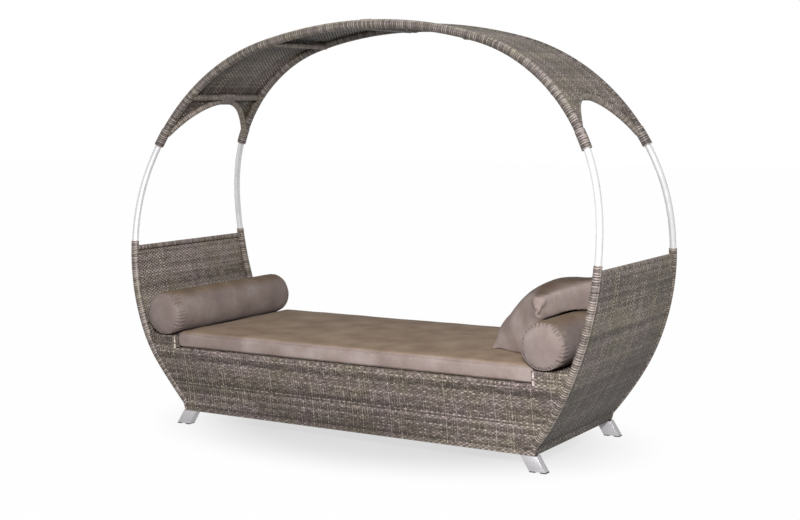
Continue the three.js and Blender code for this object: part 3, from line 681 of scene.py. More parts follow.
# End panels: the same strand woven from post to post, sweeping up from the skirt to the end
# rail. The rows run across the end, so the panel bends along its stakes.
END_STAKE_SPACING, END_ROW_PITCH = 0.0132, 0.0074
END_TUCK, END_INSET = 0.006, 0.012
end_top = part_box("end_panel_right")[1].z + END_TUCK
end_length = (heading_at(SKIRT_TOP) - heading_at(end_top)) * HULL_RADIUS
skirt_height = SKIRT_TOP - wicker_bottom


def end_surface(along, up):
    offset = SKIN_OUTSIDE - WEAVE_DEPTH
    if up > end_length:
        height = SKIRT_TOP - (up - end_length)
        out = Vector((skirt_height, 0, -SKIRT_TAPER)).normalized()
        return Vector((skirt_reach(height, offset), along, height)), out
    heading = heading_at(end_top) + up / HULL_RADIUS
    x, z = line_at(heading, offset)
    return Vector((x, along, z)), Vector((math.sin(heading), 0, math.cos(heading)))


def end_limits(up):
    height = end_surface(0.0, min(max(up, 0.0), end_length + skirt_height))[0].z
    return 0.0, half_width_at(height) + (-END_INSET if height > SKIRT_TOP else SKIRT_OUTSET)


# Lit and shaded copies of the woven strand: painted light on the left end panel, and painted shade on
# the right one, darker still towards the ground.
painted_light_finish = strand_finish(
    "painted_light_woven_strand", ("64594f", "a1958a", "cec4b9"), spread=0.3
)
painted_shade_finish = strand_finish(
    "painted_shade_woven_strand", ("3c322b", "6c6158", "a69b91"), spread=0.34, ground_shade=0.58
)
end_finish = {"left": painted_light_finish, "right": painted_shade_finish}
end_panel = weave(
    end_surface,
    end_limits,
    2 * SEAT_HALF_WIDTH,
    end_length + skirt_height,
    END_STAKE_SPACING,
    END_ROW_PITCH,
    seed=2,
)
panels(ENDS, "woven_strand", end_panel, end_finish, "end_weave_{}", "end_panel_{}")


# Skirt corners: where the two skirts meet below each post, a strand is wound round the
# corner of the frame to close the edge.
SKIRT_CORNER_RADIUS, SKIRT_CORNER_OUTSET, SKIRT_OVERLAP = 0.008, 0.006, 0.012
SKIRT_FACETS, SKIRT_LEAN = 12, 0.0014


def skirt_corner_at(height):
    x = skirt_reach(height, SKIRT_CORNER_OUTSET)
    return Vector((x, half_width_at(height) + SKIRT_CORNER_OUTSET, height))


skirt_turns = wrapped(wicker_bottom + WRAP_CLEAR, SKIRT_TOP + SKIRT_OVERLAP, SKIRT_CORNER_RADIUS)
skirt_corner = tube_along(skirt_corner_at, skirt_turns, depthwise, SKIRT_FACETS, SKIRT_LEAN)
laid(CORNERS, "wrapped_strand", (skirt_corner, wrap_finish, "skirt_corner_{}", ""))


# End rails: a wrapped bar from post to post along the top of each end panel. The strand goes
# round the bar over the last row of the weave.
END_RAIL_RADIUS, END_RAIL_FACETS, END_RAIL_LEAN = 0.012, 14, 0.0016
rail_low, rail_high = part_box("end_rail_right")


def straight(middle):
    return lambda distance: Vector((middle.x, distance, middle.z))


rail_turns = wrapped(-rail_high.y, rail_high.y, END_RAIL_RADIUS)
rail_path = straight((rail_low + rail_high) / 2)
end_rail = tube_along(rail_path, rail_turns, lengthwise, END_RAIL_FACETS, END_RAIL_LEAN)
laid(ENDS, "wrapped_strand", (end_rail, wrap_finish, "end_rail_{}_wrap", "end_rail_{}"))


# Shoulders: woven boxes that close each end of the seat, a little lower than the mattress's
# top. They carry the bolsters, and the riser faces the end of the mattress.
SHOULDER_CLEAR = 0.002
shoulder_end = line_at(heading_at(shoulder_height))[0]
riser_height = shoulder_height - seat_height


def shoulder_surface(along, up):
    if up < riser_height:
        x = recess_half_length + WEAVE_DEPTH
        return Vector((x, along, seat_height + up)), Vector((-1, 0, 0))
    x = recess_half_length + up - riser_height
    return Vector((x, along, shoulder_height - WEAVE_DEPTH)), Vector((0, 0, 1))


def shoulder_limits(up):
    if up < riser_height:
        return 0.0, half_width_at(shoulder_height) + SKIN_OUTSIDE - WEAVE_DEPTH
    past = recess_half_length + up - riser_height - shoulder_end + POST_RADIUS
    return 0.0, shoulder_high.y - (POST_RADIUS if past > 0 else 0.0)


shoulder = weave(
    shoulder_surface,
    shoulder_limits,
    2 * shoulder_high.y,
    riser_height + shoulder_end - recess_half_length - SHOULDER_CLEAR,
    END_STAKE_SPACING,
    END_ROW_PITCH,
    seed=3,
)
panels(ENDS, "woven_strand", shoulder, row_finish, "shoulder_weave_{}", "shoulder_{}")


# Edge wraps: strand wound round the frame where the weave ends at the recess, a light one up
# each shoulder's corners, and the side panels' own along both sides under the mattress.
EDGE_RADIUS, EDGE_PITCH, EDGE_LEAN = 0.0062, 0.0072, 0.0012
EDGE_INSET, EDGE_PLAY, EDGE_OVERLAP = 0.001, 0.0015, 0.004
CORNER_FACETS, RIM_FACETS = 10, 8
edge_finish = strand_finish("edge_strand", ("6f645c", "9c9188", "cfc5bb"), spread=0.6)


def edge_y_at(height):
    return half_width_at(height) + SKIN_OUTSIDE - EDGE_RADIUS - EDGE_INSET


def recess_corner_at(height):
    x = recess_half_length + EDGE_RADIUS + EDGE_PLAY
    return Vector((x, edge_y_at(shoulder_height), height))


corner_foot, corner_top = seat_height - EDGE_OVERLAP, shoulder_height + WRAP_CLEAR
corner_turns = wrapped(corner_foot, corner_top, EDGE_RADIUS, EDGE_PITCH)
recess_corner = tube_along(recess_corner_at, corner_turns, depthwise, CORNER_FACETS, EDGE_LEAN)
rim_place = (edge_y_at(seat_height), seat_height - EDGE_RADIUS - EDGE_PLAY)
rim_turns = wrapped(-recess_half_length, recess_half_length, EDGE_RADIUS, EDGE_PITCH)
rim = tube_along(lambda x: Vector((x, *rim_place)), rim_turns, depthwise, RIM_FACETS, EDGE_LEAN)
laid(SIDES, "wrapped_strand", (rim, row_finish, "recess_rim_{}", ""))
laid(CORNERS, "wrapped_strand", (recess_corner, edge_finish, "recess_corner_{}", ""))


# Seat deck: wide strand woven over the slats in an open check, under the mattress, where it
# lets rain through.
DECK_PITCH, DECK_SPACING = 0.015, 0.034
AS_IT_LIES = [("", 1, 1)]
deck_low, deck_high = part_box("seat_deck")
deck_level = (deck_low.z + deck_high.z) / 2
deck = weave(
    lambda along, up: (Vector((along, deck_low.y + up, deck_level)), Vector((0, 0, 1))),
    lambda up: (0.0, recess_half_length),
    2 * recess_half_length,
    deck_high.y - deck_low.y,
    DECK_SPACING,
    DECK_PITCH,
    seed=4,
)
panels(AS_IT_LIES, "woven_strand", deck, row_finish, "seat_deck_weave", "seat_deck")


# Uprights: bare round aluminium tube, bent to the hoop line and satin anodised, pushed into
# the sockets of the posts and of the canopy hoops.
UPRIGHT_RADIUS, UPRIGHT_STEPS, UPRIGHT_FACETS = 0.015, 40, 32
SILVER_LIGHT, SILVER_DARK, SATIN_GRAIN = "dddddb", "c4c4c3", (260.0, 260.0, 260.0)
CANOPY_LENGTH, HOOP_SOCKET, POST_SOCKET = 1.34, 0.06, 0.09
upright_finish = brushed_finish(
    "satin_upright", SATIN_GRAIN, SILVER_LIGHT, SILVER_DARK, metal=0.35, rough=0.24
)
upright_top = CANOPY_LENGTH - HOOP_SOCKET + GAP
upright_foot = length_to(heading_at(POST_TOP - POST_SOCKET + GAP))
upright_stations = [
    (upright_top + (upright_foot - upright_top) * n / UPRIGHT_STEPS, UPRIGHT_RADIUS, 0.5)
    for n in range(UPRIGHT_STEPS + 1)
]
upright = tube_along(hoop_point, upright_stations, depthwise, UPRIGHT_FACETS)
laid(CORNERS, "bare_aluminium", (upright, upright_finish, "upright_{}_tube", "upright_{}"))


# Canopy hoops: half a hoop each, tube wrapped in strand, with a thicker collar where the
# upright goes in. The halves meet at the crown.
HOOP_RADIUS, HOOP_FACETS, HOOP_LEAN, HOOP_RIDGE = 0.02, 16, 0.0024, 0.0009
COLLAR_RADIUS, COLLAR_LENGTH, COLLAR_RIDGE = 0.0225, 0.085, 0.0011
SEAM_LENGTH, SEAM_RADIUS = 0.027, 0.0218
HOOP_SHINE, HOOP_SPREAD, HOOP_TURNS = 0.34, 0.34, 0.3
# Painted highlight on the hoops: where round them it runs, how wide it is and how much lighter.
HOOP_HIGHLIGHT_AT, HOOP_HIGHLIGHT_REACH, HOOP_HIGHLIGHT_LIFT = math.tau / 6, 0.013, 0.38


def canopy_finish(name, colours, spread=HOOP_SPREAD, painted_highlight=None):
    """The smoother strand of the canopy's wraps, without patches, with a painted highlight if one is
    given.
    """
    return strand_finish(
        name, colours, spread, rough=HOOP_SHINE, painted_highlight=painted_highlight, patches=0.0, turns=HOOP_TURNS
    )


# Painted highlight: a light line along each hoop's top, where the lamps light it.
hoop_painted_highlight = (HOOP_HIGHLIGHT_AT * HOOP_RADIUS, HOOP_HIGHLIGHT_REACH, HOOP_HIGHLIGHT_LIFT)
hoop_finish = canopy_finish("hoop_strand", ("302a26", "544c45", "9e968c"), painted_highlight=hoop_painted_highlight)
collar_start = CANOPY_LENGTH - COLLAR_LENGTH
hoop_stations = [
    *wrapped(GAP / 2, SEAM_LENGTH, SEAM_RADIUS, ridge=COLLAR_RIDGE),
    *wrapped(SEAM_LENGTH, collar_start, HOOP_RADIUS, ridge=HOOP_RIDGE),
    *wrapped(collar_start, CANOPY_LENGTH, COLLAR_RADIUS, ridge=COLLAR_RIDGE),
    (CANOPY_LENGTH, SOCKET_RADIUS, 0.5),
    (CANOPY_LENGTH - HOOP_SOCKET, SOCKET_RADIUS, 0.5),
]
hoop = tube_along(hoop_point, hoop_stations, depthwise, HOOP_FACETS, HOOP_LEAN)
laid(CORNERS, "canopy_strand", (hoop, hoop_finish, "canopy_hoop_{}_wrap", "canopy_hoop_{}"))


# Crossbars and seam bars: straight wrapped bars from hoop to hoop that hold the roof's curve.
# The two seam bars lie side by side at the crown and are bolted together.
CROSSBAR_RADIUS, BAR_FACETS, BAR_LEAN = 0.015, 14, 0.0018
BAR_OVERLAP, BAR_SLIMMER = 0.004, 0.0004
bar_finish = canopy_finish("bar_strand", ("3a332d", "645c53", "9b9389"))
for kind in ("low_crossbar", "high_crossbar", "seam_bar"):
    low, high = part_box(f"{kind}_right")
    bar_turns = wrapped(low.y - BAR_OVERLAP, high.y + BAR_OVERLAP, CROSSBAR_RADIUS - BAR_SLIMMER)
    bar = tube_along(straight((low + high) / 2), bar_turns, lengthwise, BAR_FACETS, BAR_LEAN)
    laid(ENDS, "canopy_strand", (bar, bar_finish, f"{kind}_{{}}_wrap", f"{kind}_{{}}"))


# Seam bolts: a zinc-plated steel bolt and nut through both seam bars, front and back, that
# hold the two halves of the canopy together at the crown.
ZINC_LIGHT, ZINC_DARK, ZINC_GRAIN = "c4c7c9", "8f9396", (700.0, 700.0, 700.0)
BOLT_EDGE = 0.0005
bolt_finish = brushed_finish(
    "plated_bolt", ZINC_GRAIN, ZINC_LIGHT, ZINC_DARK, metal=0.95, rough=0.28
)
for side, _, _ in SIDES:
    node = f"seam_bolt_{side}"
    rounded(f"{node}_plated", node, BOLT_EDGE, bolt_finish)


# Arch rails: each canopy half ends in a wrapped rail bent to an arch that springs from the
# feet of the hoops, lies under the edge of the roof and touches the low crossbar at its crown.
ARCH_RADIUS, ARCH_FACETS, ARCH_LEAN = 0.013, 12, 0.0018
ROOF_INSIDE, ROOF_PLAY = 0.006, 0.001
LOW_CROSSBAR_AT, ARCH_FOOT_AT = 1.045, 1.28
ARCH_SAMPLES, ARCH_CLEAR = 200, 0.004
low_crossbar_heading = heading_along(LOW_CROSSBAR_AT)
arch_crown = low_crossbar_heading + (CROSSBAR_RADIUS + ARCH_RADIUS + 2 * GAP) / SHOULDER_RADIUS
arch_foot = heading_along(ARCH_FOOT_AT)
arch_half_span = half_width_at(line_at(arch_foot)[1]) - HOOP_RADIUS / 2
arch_offset = ROOF_INSIDE - ROOF_PLAY - ARCH_RADIUS


def arch_point(share):
    """A point of the arch, from -1 at the front foot through 0 at the crown to 1."""
    x, z = line_at(arch_crown + (arch_foot - arch_crown) * share**2, arch_offset)
    return Vector((x, share * arch_half_span, z))


arch_marks = [arch_point(2 * n / ARCH_SAMPLES - 1) for n in range(ARCH_SAMPLES + 1)]
arch_lengths = [0.0]
for before, after in zip(arch_marks, arch_marks[1:]):
    arch_lengths.append(arch_lengths[-1] + (after - before).length)


def arch_along(distance):
    n = next((n for n, mark in enumerate(arch_lengths[1:]) if mark >= distance), ARCH_SAMPLES - 1)
    share = (distance - arch_lengths[n]) / (arch_lengths[n + 1] - arch_lengths[n])
    return arch_marks[n].lerp(arch_marks[n + 1], share)


arch_turns = wrapped(ARCH_CLEAR, arch_lengths[-1] - ARCH_CLEAR, ARCH_RADIUS + ROOF_PLAY)
arch = tube_along(arch_along, arch_turns, lengthwise, ARCH_FACETS, ARCH_LEAN)
arch_finish = canopy_finish("arch_strand", ("4a423b", "7b7268", "b3aba0"), spread=0.3)
laid(ENDS, "canopy_strand", (arch, arch_finish, "arch_rail_{}_wrap", "arch_rail_{}"))


# Crown bindings: strand wound round the low crossbar and the crown of the arch together,
# which ties the two bars where they touch.
BINDING_HALF, BINDING_DEPTH, BINDING_REACH, BINDING_DROP = 0.05, 0.0172, 0.0305, 0.005
BINDING_RIDGE, BINDING_FACETS, BINDING_LEAN = 0.0016, 20, 0.004
binding_turns = wrapped(-BINDING_HALF, BINDING_HALF, BINDING_DEPTH, ridge=BINDING_RIDGE)
binding = tube_along(straight(Vector()), binding_turns, lengthwise, BINDING_FACETS, BINDING_LEAN)
bmesh.ops.scale(binding, vec=(BINDING_REACH / BINDING_DEPTH, 1, 1), verts=binding.verts)
binding_heading = (low_crossbar_heading + arch_crown) / 2
binding_offset = (arch_offset - CROSSBAR_RADIUS + BINDING_DROP) / 2
binding_x, binding_z = line_at(binding_heading, binding_offset)
binding_place = Matrix.Translation((binding_x, 0, binding_z))
binding_tilt = Matrix.Rotation(binding_heading, 4, "Y")
bmesh.ops.transform(binding, matrix=binding_place @ binding_tilt, verts=binding.verts)
laid(ENDS, "canopy_strand", (binding, bar_finish, "crown_binding_{}", ""))


# Roof skins: strand woven from hoop to hoop in one curved sheet on each half, from the seam
# down to the arch. It is seen from above and from below.
ROOF_THICKNESS, ROOF_START, ROOF_LENGTH = 0.009, 0.002, 1.275
ROOF_SPACING, ROOF_PITCH = 0.013, 0.0078
TUCK_REACH, TUCK_DEPTH, HEM = 0.03, 0.0078, 0.0055
roof_offset = ROOF_INSIDE + ROOF_THICKNESS / 2


def roof_surface(along, up):
    """The roof's curve, drawn down on to the arch rail at its edge."""
    heading = heading_along(up + ROOF_START)
    edge = roof_limits(up)[0]
    tuck = max(0.0, 1 - max(0.0, abs(along) - edge) / TUCK_REACH) if edge else 0.0
    x, z = line_at(heading, roof_offset - TUCK_DEPTH * tuck)
    return Vector((x, along, z)), Vector((math.sin(heading), 0, math.cos(heading)))


def roof_limits(up):
    heading = heading_along(up + ROOF_START)
    outer = half_width_at(line_at(heading)[1]) - HOOP_RADIUS / 2
    past = heading - arch_crown + HEM / SHOULDER_RADIUS
    share = max(0.0, past) / (arch_foot - arch_crown)
    return min(math.sqrt(share) * arch_half_span, outer), outer


roof = weave(
    roof_surface, roof_limits, 2 * arch_half_span, ROOF_LENGTH, ROOF_SPACING, ROOF_PITCH, seed=6
)
roof_finish = strand_finish("roof_strand", ("443b32", "6d6358", "998e81"), spread=0.3)
panels(ENDS, "canopy_strand", roof, roof_finish, "roof_weave_{}", "roof_skin_{}")


# Mattress: a foam slab in a zipped cover of taupe outdoor fabric, boxed with a band round its
# edge and piped along both seams. The foam crowns slightly and draws the sides in.
FABRIC_TONES = ("7e7069", "8d7f77", "9d918b")
# Painted shade on cushion tops: a warm tone that multiplies the cloth where it faces up, over this
# range of facing.
TOP_PAINTED_SHADE, PAINTED_SHADE_FACING = "fff4da", (0.6, 1.0)
THREADS, THREAD_STRETCH, FABRIC_RELIEF = 620.0, 0.12, 0.00028
FILL_FRAMES = 20
TOP_BAND, WAVE_DEPTH, CREASE_DEPTH = 0.02, 0.0022, 0.0009
PUCKER_END, END_FROM = 0.0014, 0.9
PUCKER_SIDE, SIDE_FROM = 0.0018, 0.4
END_FILL, END_REACH, END_PAST = 0.012, 0.05, 0.003
PIPING_RADIUS, PIPING_OUT, PIPING_INSET = 0.0021, 0.002, 0.007
PIPING_CORNER, PIPING_STEP = 0.014, 0.014
PIPING_LIFT_SHARE, PIPING_EASED, STEEP = 0.25, 3, 0.2
BED_CLEAR = 0.0002


def fabric_finish(name, tones, top_shade=TOP_PAINTED_SHADE):
    """Woven cloth, mottled by wear, with painted shade that makes it darker and warmer where it faces
    up.
    """
    finish = Finish(bpy.data.materials.new(name))
    short = THREADS * THREAD_STRETCH
    warp = finish.cloud(finish.stretched(THREADS, short, THREADS))
    weft = finish.cloud(finish.stretched(short, THREADS, THREADS))
    cloth = 0.5 * (warp + weft)
    patches = finish.cloud(finish.place(), 8.0, 4.0)
    tone = finish.shades(0.55 * patches + 0.45 * cloth, *zip((0.38, 0.5, 0.63), tones))
    # Painted shade: cloth facing up is tinted darker and warmer.
    facing = finish.node("ShaderNodeNewGeometry", {}, {}, "Normal")
    facing_up = finish.eased(finish.part(facing, 2), *PAINTED_SHADE_FACING)
    top_shading = finish.blend(facing_up, paint("ffffff"), paint(top_shade))
    return finish.set(
        Base_Color=finish.blend(1.0, tone, top_shading, "MULTIPLY"),
        Roughness=0.7 + 0.18 * cloth,
        Normal=finish.relief(cloth, FABRIC_RELIEF),
        Sheen_Weight=0.02,
        Sheen_Roughness=0.45,
        Specular_IOR_Level=0.1,
    )


def keep_result(piece):
    """Applies a piece's modifiers to its mesh."""
    graph = bpy.context.evaluated_depsgraph_get()
    graph.update()
    result = bpy.data.meshes.new_from_object(piece.evaluated_get(graph))
    piece.modifiers.clear()
    piece.data = result


def points_and_normals(piece):
    """Each point of a piece, to be moved where it is, with its normal as it was."""
    normals = [vertex.normal.copy() for vertex in piece.data.vertices]
    return zip([vertex.co for vertex in piece.data.vertices], normals)


def stuffed(name, node, voxel, start, cap, pressure=4.0, stiffness=15.0):
    """Cloth over a filling: a copy of the CAD cushion, drawn in, blown up and held back."""
    cover = meshed(name, cad_copy(node))
    remesh = cover.modifiers.new("even_mesh", "REMESH")
    remesh.mode = "VOXEL"
    remesh.voxel_size = voxel
    keep_result(cover)
    rest = [vertex.co.copy() for vertex in cover.data.vertices]
    for co, normal in points_and_normals(cover):
        co -= normal * start
    cloth = cover.modifiers.new("filling", "CLOTH")
    cloth.settings.quality = 4
    cloth.settings.mass = 0.25
    cloth.settings.tension_stiffness = stiffness
    cloth.settings.compression_stiffness = stiffness
    cloth.settings.bending_stiffness = 0.6
    cloth.settings.use_pressure = True
    cloth.settings.uniform_pressure_force = pressure
    cloth.settings.effector_weights.gravity = 0.0
    cloth.collision_settings.use_collision = False
    for n in range(1, FILL_FRAMES + 1):
        bpy.context.scene.frame_set(n)
    keep_result(cover)
    for vertex, home in zip(cover.data.vertices, rest):
        move = vertex.co - home
        if move.length > cap:
            vertex.co = home + move * (cap / move.length)
    return cover


def refined(piece):
    """One level of subdivision, applied."""
    smooth = piece.modifiers.new("subdivision", "SUBSURF")
    smooth.levels = smooth.render_levels = 1
    keep_result(piece)
    for face in piece.data.polygons:
        face.use_smooth = True


def cushion(piece, finish, node):
    """A cover that rides on its own cushion's body, in place of the CAD cushion."""
    piece.data.materials.clear()
    piece.data.materials.append(finish.material)
    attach(piece, node)
    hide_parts(node)


def piping(name, marks, radius, cover, finish, body, facets=8):
    """A corded seam that lies on a cushion's cover along a closed line."""
    tree = BVHTree.FromObject(cover, bpy.context.evaluated_depsgraph_get())
    spots = []
    for mark in marks:
        found, normal, _, _ = tree.find_nearest(mark)
        spots.append(found + normal * radius * PIPING_LIFT_SHARE)
    count = len(spots)
    for _ in range(PIPING_EASED):
        spots = [(spots[n - 1] + spots[n] * 2 + spots[(n + 1) % count]) / 4 for n in range(count)]
    shape = bmesh.new()
    bmesh.ops.create_grid(shape, x_segments=count, y_segments=facets, size=0.5)
    for vertex in shape.verts:
        n = round((vertex.co.x + 0.5) * count) % count
        angle = math.tau * round((vertex.co.y + 0.5) * facets) / facets
        tangent = (spots[(n + 1) % count] - spots[n - 1]).normalized()
        across = tangent.cross(Vector((0, 0, 1)))
        across = (across if across.length > STEEP else tangent.cross(depthwise)).normalized()
        out = across * math.cos(angle) + tangent.cross(across) * math.sin(angle)
        vertex.co = spots[n] + out * radius
    finished(name, sealed(shape), finish, body=body)


def rounded_outline(half_x, half_y, corner, height, step):
    """Points round a rectangle with round corners."""
    marks = []
    for n, (x, y) in enumerate(((1, 1), (-1, 1), (-1, -1), (1, -1))):
        for angle in (math.radians(90 * n + 15 * part) for part in range(7)):
            across, deep = x * (half_x - corner), y * (half_y - corner)
            bend = corner * Vector((math.cos(angle), math.sin(angle), 0))
            marks.append(Vector((across, deep, height)) + bend)
    filled = []
    for mark, following in zip(marks, marks[1:] + marks[:1]):
        parts = max(1, round((following - mark).length / step))
        filled += [mark.lerp(following, part / parts) for part in range(parts)]
    return filled


fabric = fabric_finish("outdoor_fabric", FABRIC_TONES)
mattress_low, mattress_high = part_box("mattress")
mattress = stuffed("mattress_cover", "mattress", voxel=0.014, start=0.003, cap=0.006, pressure=3.0)
refined(mattress)
for vertex in mattress.data.vertices:
    co = vertex.co
    if co.z > mattress_high.z - TOP_BAND:
        crease = wander(co.x * 9.0 + co.y * 6.0, co.y * 12.0, 7.0)
        co.z += WAVE_DEPTH * wander(co.x * 2.6, co.y * 5.0, 1.0) + CREASE_DEPTH * crease
    else:
        pucker = wander(co.x * 24.0, co.y * 24.0, co.z * 9.0)
        co.x += math.copysign(PUCKER_END, co.x) * pucker * (abs(co.x) > END_FROM)
        co.y += math.copysign(PUCKER_SIDE, co.y) * pucker * (abs(co.y) > SIDE_FROM)
    co.z = max(co.z, mattress_low.z + BED_CLEAR)
    fill = END_FILL * max(0.0, min(1.0, (abs(co.x) - mattress_high.x) / END_REACH + 1.0))
    co.x = math.copysign(min(abs(co.x) + fill, mattress_high.x + END_PAST), co.x)
cushion(mattress, fabric, "mattress")
piping_half = mattress_high + Vector((PIPING_OUT, PIPING_OUT, 0))
seams = {"top": mattress_high.z - PIPING_INSET, "bottom": mattress_low.z + PIPING_INSET}
for edge, height in seams.items():
    line = rounded_outline(piping_half.x, piping_half.y, PIPING_CORNER, height, PIPING_STEP)
    piping(f"mattress_piping_{edge}", line, PIPING_RADIUS, mattress, fabric, "mattress")


# Bolsters: round cushions in a darker lot of the same fabric. The cover's tube is gathered
# into short pleats where it is sewn to a flat disc at each end.
PLEATS, PLEAT_DEPTH, PLEAT_LENGTH, PLEAT_FADE = 34, 0.0052, 0.055, 1.3
PLEATED_FROM, FAR_PLEAT_SHARE, RIPPLE_DEPTH = 0.8, 0.35, 0.0016
BOLSTER_PIPING, RIM_AT, RIM_INSET, RIM_MARKS = 0.0018, 0.024, 0.006, 90
# The second colour here is the bolsters' own warm painted shade on their tops.
BOLSTER_TONES, BOLSTER_TOP_SHADE = ("716560", "7f726b", "8d837d"), "ece0c4"
BOLSTER_CLEAR = 0.0001
bolster_fabric = fabric_finish("bolster_fabric", BOLSTER_TONES, BOLSTER_TOP_SHADE)
for end, _, _ in ENDS:
    node = f"bolster_{end}"
    low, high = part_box(node)
    middle = (low + high) / 2
    radius = (high.z - low.z) / 2
    bolster = stuffed(f"{node}_cover", node, voxel=0.008, start=0.004, cap=0.006)
    refined(bolster)
    for vertex in bolster.data.vertices:
        co = vertex.co
        out = Vector((co.x - middle.x, 0, co.z - middle.z))
        inward = min(co.y - low.y, high.y - co.y)
        angle = math.atan2(out.z, out.x)
        if out.length / radius > PLEATED_FROM:
            fade = max(0.0, 1 - max(0.0, inward - RIM_AT) / PLEAT_LENGTH) ** PLEAT_FADE
            uneven = 0.8 + wander(angle * 5.0, 3.0, co.y)
            fade *= min(1.0, inward / RIM_AT) * uneven
            fold = math.cos(angle * PLEATS + 3.2 * wander(angle * 2, 0, co.y))
            ripple = wander(co.x * 9.0, co.y * 6.0, co.z * 9.0)
            depth = PLEAT_DEPTH * (1.0 if co.y < middle.y else FAR_PLEAT_SHARE)
            co += out.normalized() * (depth * fade * (fold - 0.6) + RIPPLE_DEPTH * ripple)
        co.z = max(co.z, low.z + BOLSTER_CLEAR)
    cushion(bolster, bolster_fabric, node)
    for face, y in (("near", low.y + RIM_AT), ("far", high.y - RIM_AT)):
        turns = [math.tau * n / RIM_MARKS for n in range(RIM_MARKS)]
        reach = radius - RIM_INSET
        centre = Vector((middle.x, y, middle.z))
        ring = [centre + reach * Vector((math.cos(turn), 0, math.sin(turn))) for turn in turns]
        piping(f"{node}_piping_{face}", ring, BOLSTER_PIPING, bolster, bolster_fabric, node, facets=6)


# Throw pillow: a knife-edged square pillow that leans on the right bolster and bends over it.
# The two halves of its cover meet in a seam all round, and its soft filling sinks on to the
# mattress and the bolster.
SAG_ROOM, SAG_SHARE, SAG_MOST, SAG_TURN = 0.0055, 0.85, 0.09, 1.4
# The second colour here is a darker painted shade on the pillow's tops.
PILLOW_CEILING, PILLOW_TOP_SHADE = 0.786, "9d9181"
SET_UP = (
    (0.0, 0.0), (0.1, -0.008), (0.2, -0.018), (0.3, -0.004), (0.4, 0.012), (0.55, 0.021),
    (1.1, 0.022),
)
FOLD_REACH, FOLD_DEPTH, FOLD_START, FOLDS = 0.17, 0.0055, 30, 11
PILLOW_CREASE, SINKS, SETTLING = 0.004, 3, 12
pillow = stuffed(
    "throw_pillow_cover",
    "throw_pillow",
    voxel=0.008,
    start=0.003,
    cap=0.008,
    pressure=5.0,
    stiffness=10.0,
)
bolster_low, bolster_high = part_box("bolster_right")
bolster_centre = (bolster_low + bolster_high) / 2
bolster_radius = (bolster_high.z - bolster_low.z) / 2 + SAG_ROOM
pillow_low, pillow_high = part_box("throw_pillow")


def support_under(x):
    """How high the mattress or the bolster lies under the pillow."""
    past = abs(x - bolster_centre.x)
    if past >= bolster_radius:
        return bolster_centre.z if x > bolster_centre.x else mattress_high.z + SAG_ROOM / 2
    return bolster_centre.z + math.sqrt(bolster_radius**2 - past**2)


def set_up(x):
    """How far the pillow is pulled up or pressed down along its lean."""
    share = (x - pillow_low.x) / (pillow_high.x - pillow_low.x)
    for (start, low), (end, high) in zip(SET_UP, SET_UP[1:]):
        if share <= end:
            return low + (high - low) * max(0.0, share - start) / (end - start)
    return SET_UP[-1][1]


for vertex in pillow.data.vertices:
    co = vertex.co
    lifted = min(co.z + set_up(co.x), PILLOW_CEILING)
    co.z = max(lifted, min(co.z, support_under(co.x)))
for _ in range(SINKS):
    for co, normal in points_and_normals(pillow):
        hang = co.z - support_under(co.x)
        down = min(1.0, max(0.0, -SAG_TURN * normal.z))
        co.z -= SAG_SHARE * down * min(hang, SAG_MOST)
    settle = pillow.modifiers.new("settle", "SMOOTH")
    settle.factor = 0.5
    settle.iterations = SETTLING
    keep_result(pillow)
refined(pillow)
spots = [vertex.co for vertex in pillow.data.vertices]
pillow_middle = sum(spots, Vector()) / len(spots)
pillow_corners = [
    choose(spots, key=lambda co: co[axis]).copy() for axis in (0, 1) for choose in (min, max)
]
for co, normal in points_and_normals(pillow):
    lift = PILLOW_CREASE * wander(co.x * 9.0, co.y * 7.0, co.z * 6.0)
    for corner in pillow_corners:
        away = co - corner
        near = max(0.0, 1 - away.length / FOLD_REACH) * min(1.0, away.length * FOLD_START)
        if near:
            turn = away.angle(pillow_middle - corner, 0.0)
            lift += FOLD_DEPTH * near * math.cos(turn * FOLDS + corner.x)
    co += normal * lift
pillow_fabric = fabric_finish("pillow_fabric", FABRIC_TONES, PILLOW_TOP_SHADE)
cushion(pillow, pillow_fabric, "throw_pillow")


# Floor, lamps and camera: a plain pale floor, soft lamps, and the camera where the photograph
# was taken from.
FLOOR_HALF, FLOOR_TONE, FLOOR_ROUGH = 30, "8f8d8e", 0.9
SHADOW_OVAL, SHADOW_START, SHADOW_END = (0.66, 1.0, 0.0), 0.42, 0.92
FLOOR_WHITE_NEAR, FLOOR_WHITE_FAR = 0.67, 0.99
ROOM_LIGHT, WHITE = 0.22, (1.0, 1.0, 1.0, 1.0)
COOL, WARM = (0.98, 0.97, 1.02), (1.0, 0.98, 0.92)
LAMPS = (
    ("key_lamp", (2.9, -4.9, 2.4), 0.8, 420.0, COOL),
    ("front_lamp", (0.8, -6.4, 1.3), 2.0, 40.0, COOL),
    ("top_lamp", (0.5, -1.5, 5.2), 3.0, 25.0, WARM),
)
LAMP_AIM = Vector((0, 0, 0.6))
CAMERA_PLACE = Vector((3.5208, -5.6378, 1.5149))
CAMERA_YAW, CAMERA_PITCH, CAMERA_ROLL = 0.5530, -0.1056, -0.0084
FOCAL_PIXELS, PHOTO_WIDTH, SENSOR = 1419.05, 800, 36.0


def seen_directly(finish):
    """1 where the background is seen by the camera, in a gloss or through glass."""
    kinds = ("Camera", "Glossy", "Transmission")
    rays = [finish.node("ShaderNodeLightPath", {}, {}, f"Is {kind} Ray") for kind in kinds]
    total = rays[0] + rays[1] + rays[2]
    return total.sum("MINIMUM", total, 1.0)


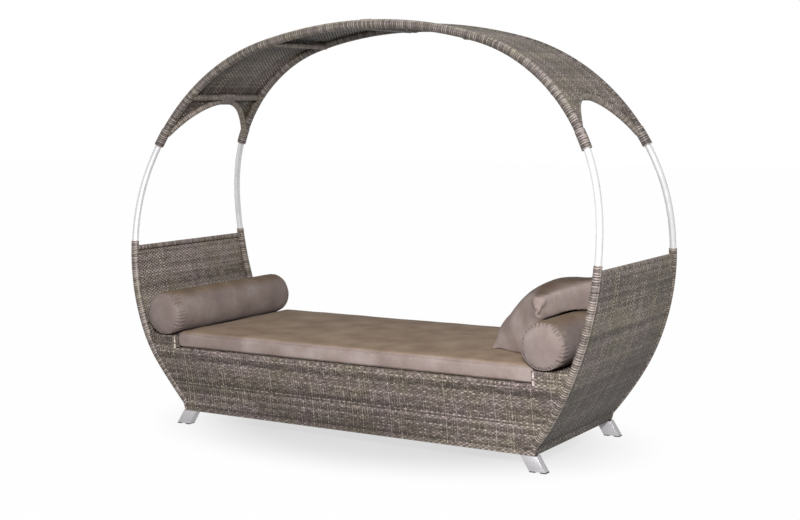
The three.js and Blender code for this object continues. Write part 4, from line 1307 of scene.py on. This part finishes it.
floor_shape = bmesh.new()
bmesh.ops.create_grid(floor_shape, x_segments=1, y_segments=1, size=FLOOR_HALF)
floor = meshed("floor", floor_shape)
floor_finish = Finish(bpy.data.materials.new("studio_floor"))
floor_finish.set(Base_Color=paint(FLOOR_TONE), Roughness=FLOOR_ROUGH)
floor.data.materials.append(floor_finish.material)
# The floor glows white for the camera but less in an oval round the object: a painted soft grey
# shadow under it, on top of the lamps' own shadow.
oval = {0: floor_finish.stretched(*SHADOW_OVAL)}
from_middle = floor_finish.node("ShaderNodeVectorMath", {"operation": "LENGTH"}, oval, "Value")
far = floor_finish.eased(from_middle, SHADOW_START, SHADOW_END, FLOOR_WHITE_NEAR, FLOOR_WHITE_FAR)
glow = floor_finish.node("ShaderNodeEmission", {}, {"Color": WHITE, "Strength": 1.0})
plain = Wire(floor_finish, floor_finish.shader.outputs[0])
layers = {0: seen_directly(floor_finish) * far, 1: plain, 2: glow}
floor_mix = floor_finish.node("ShaderNodeMixShader", {}, layers)
floor_finish.plug(floor_finish.tree.nodes["Material Output"].inputs["Surface"], floor_mix)

room = bpy.data.worlds.new("studio")
bpy.context.scene.world = room
sky = Finish(room, "Background")
sky.set(Color=WHITE, Strength=seen_directly(sky) * (1.0 - ROOM_LIGHT) + ROOM_LIGHT)

camera_data = bpy.data.cameras.new("photo_camera")
camera_data.sensor_width = SENSOR
camera_data.lens = FOCAL_PIXELS / PHOTO_WIDTH * SENSOR
camera = linked("photo_camera", camera_data)
camera.matrix_world = (
    Matrix.Translation(CAMERA_PLACE)
    @ Matrix.Rotation(CAMERA_YAW, 4, "Z")
    @ Matrix.Rotation(math.pi / 2 + CAMERA_PITCH, 4, "X")
    @ Matrix.Rotation(CAMERA_ROLL, 4, "Z")
)
bpy.context.scene.camera = camera

for name, place, size, power, colour in LAMPS:
    lamp_data = bpy.data.lights.new(name, "AREA")
    lamp_data.shape = "DISK"
    lamp_data.size = size
    lamp_data.energy = power
    lamp_data.color = colour
    aim = (LAMP_AIM - Vector(place)).to_track_quat("-Z", "Y").to_matrix().to_4x4()
    linked(name, lamp_data).matrix_world = Matrix.Translation(place) @ aim

bpy.context.scene.view_settings.view_transform = "Standard"
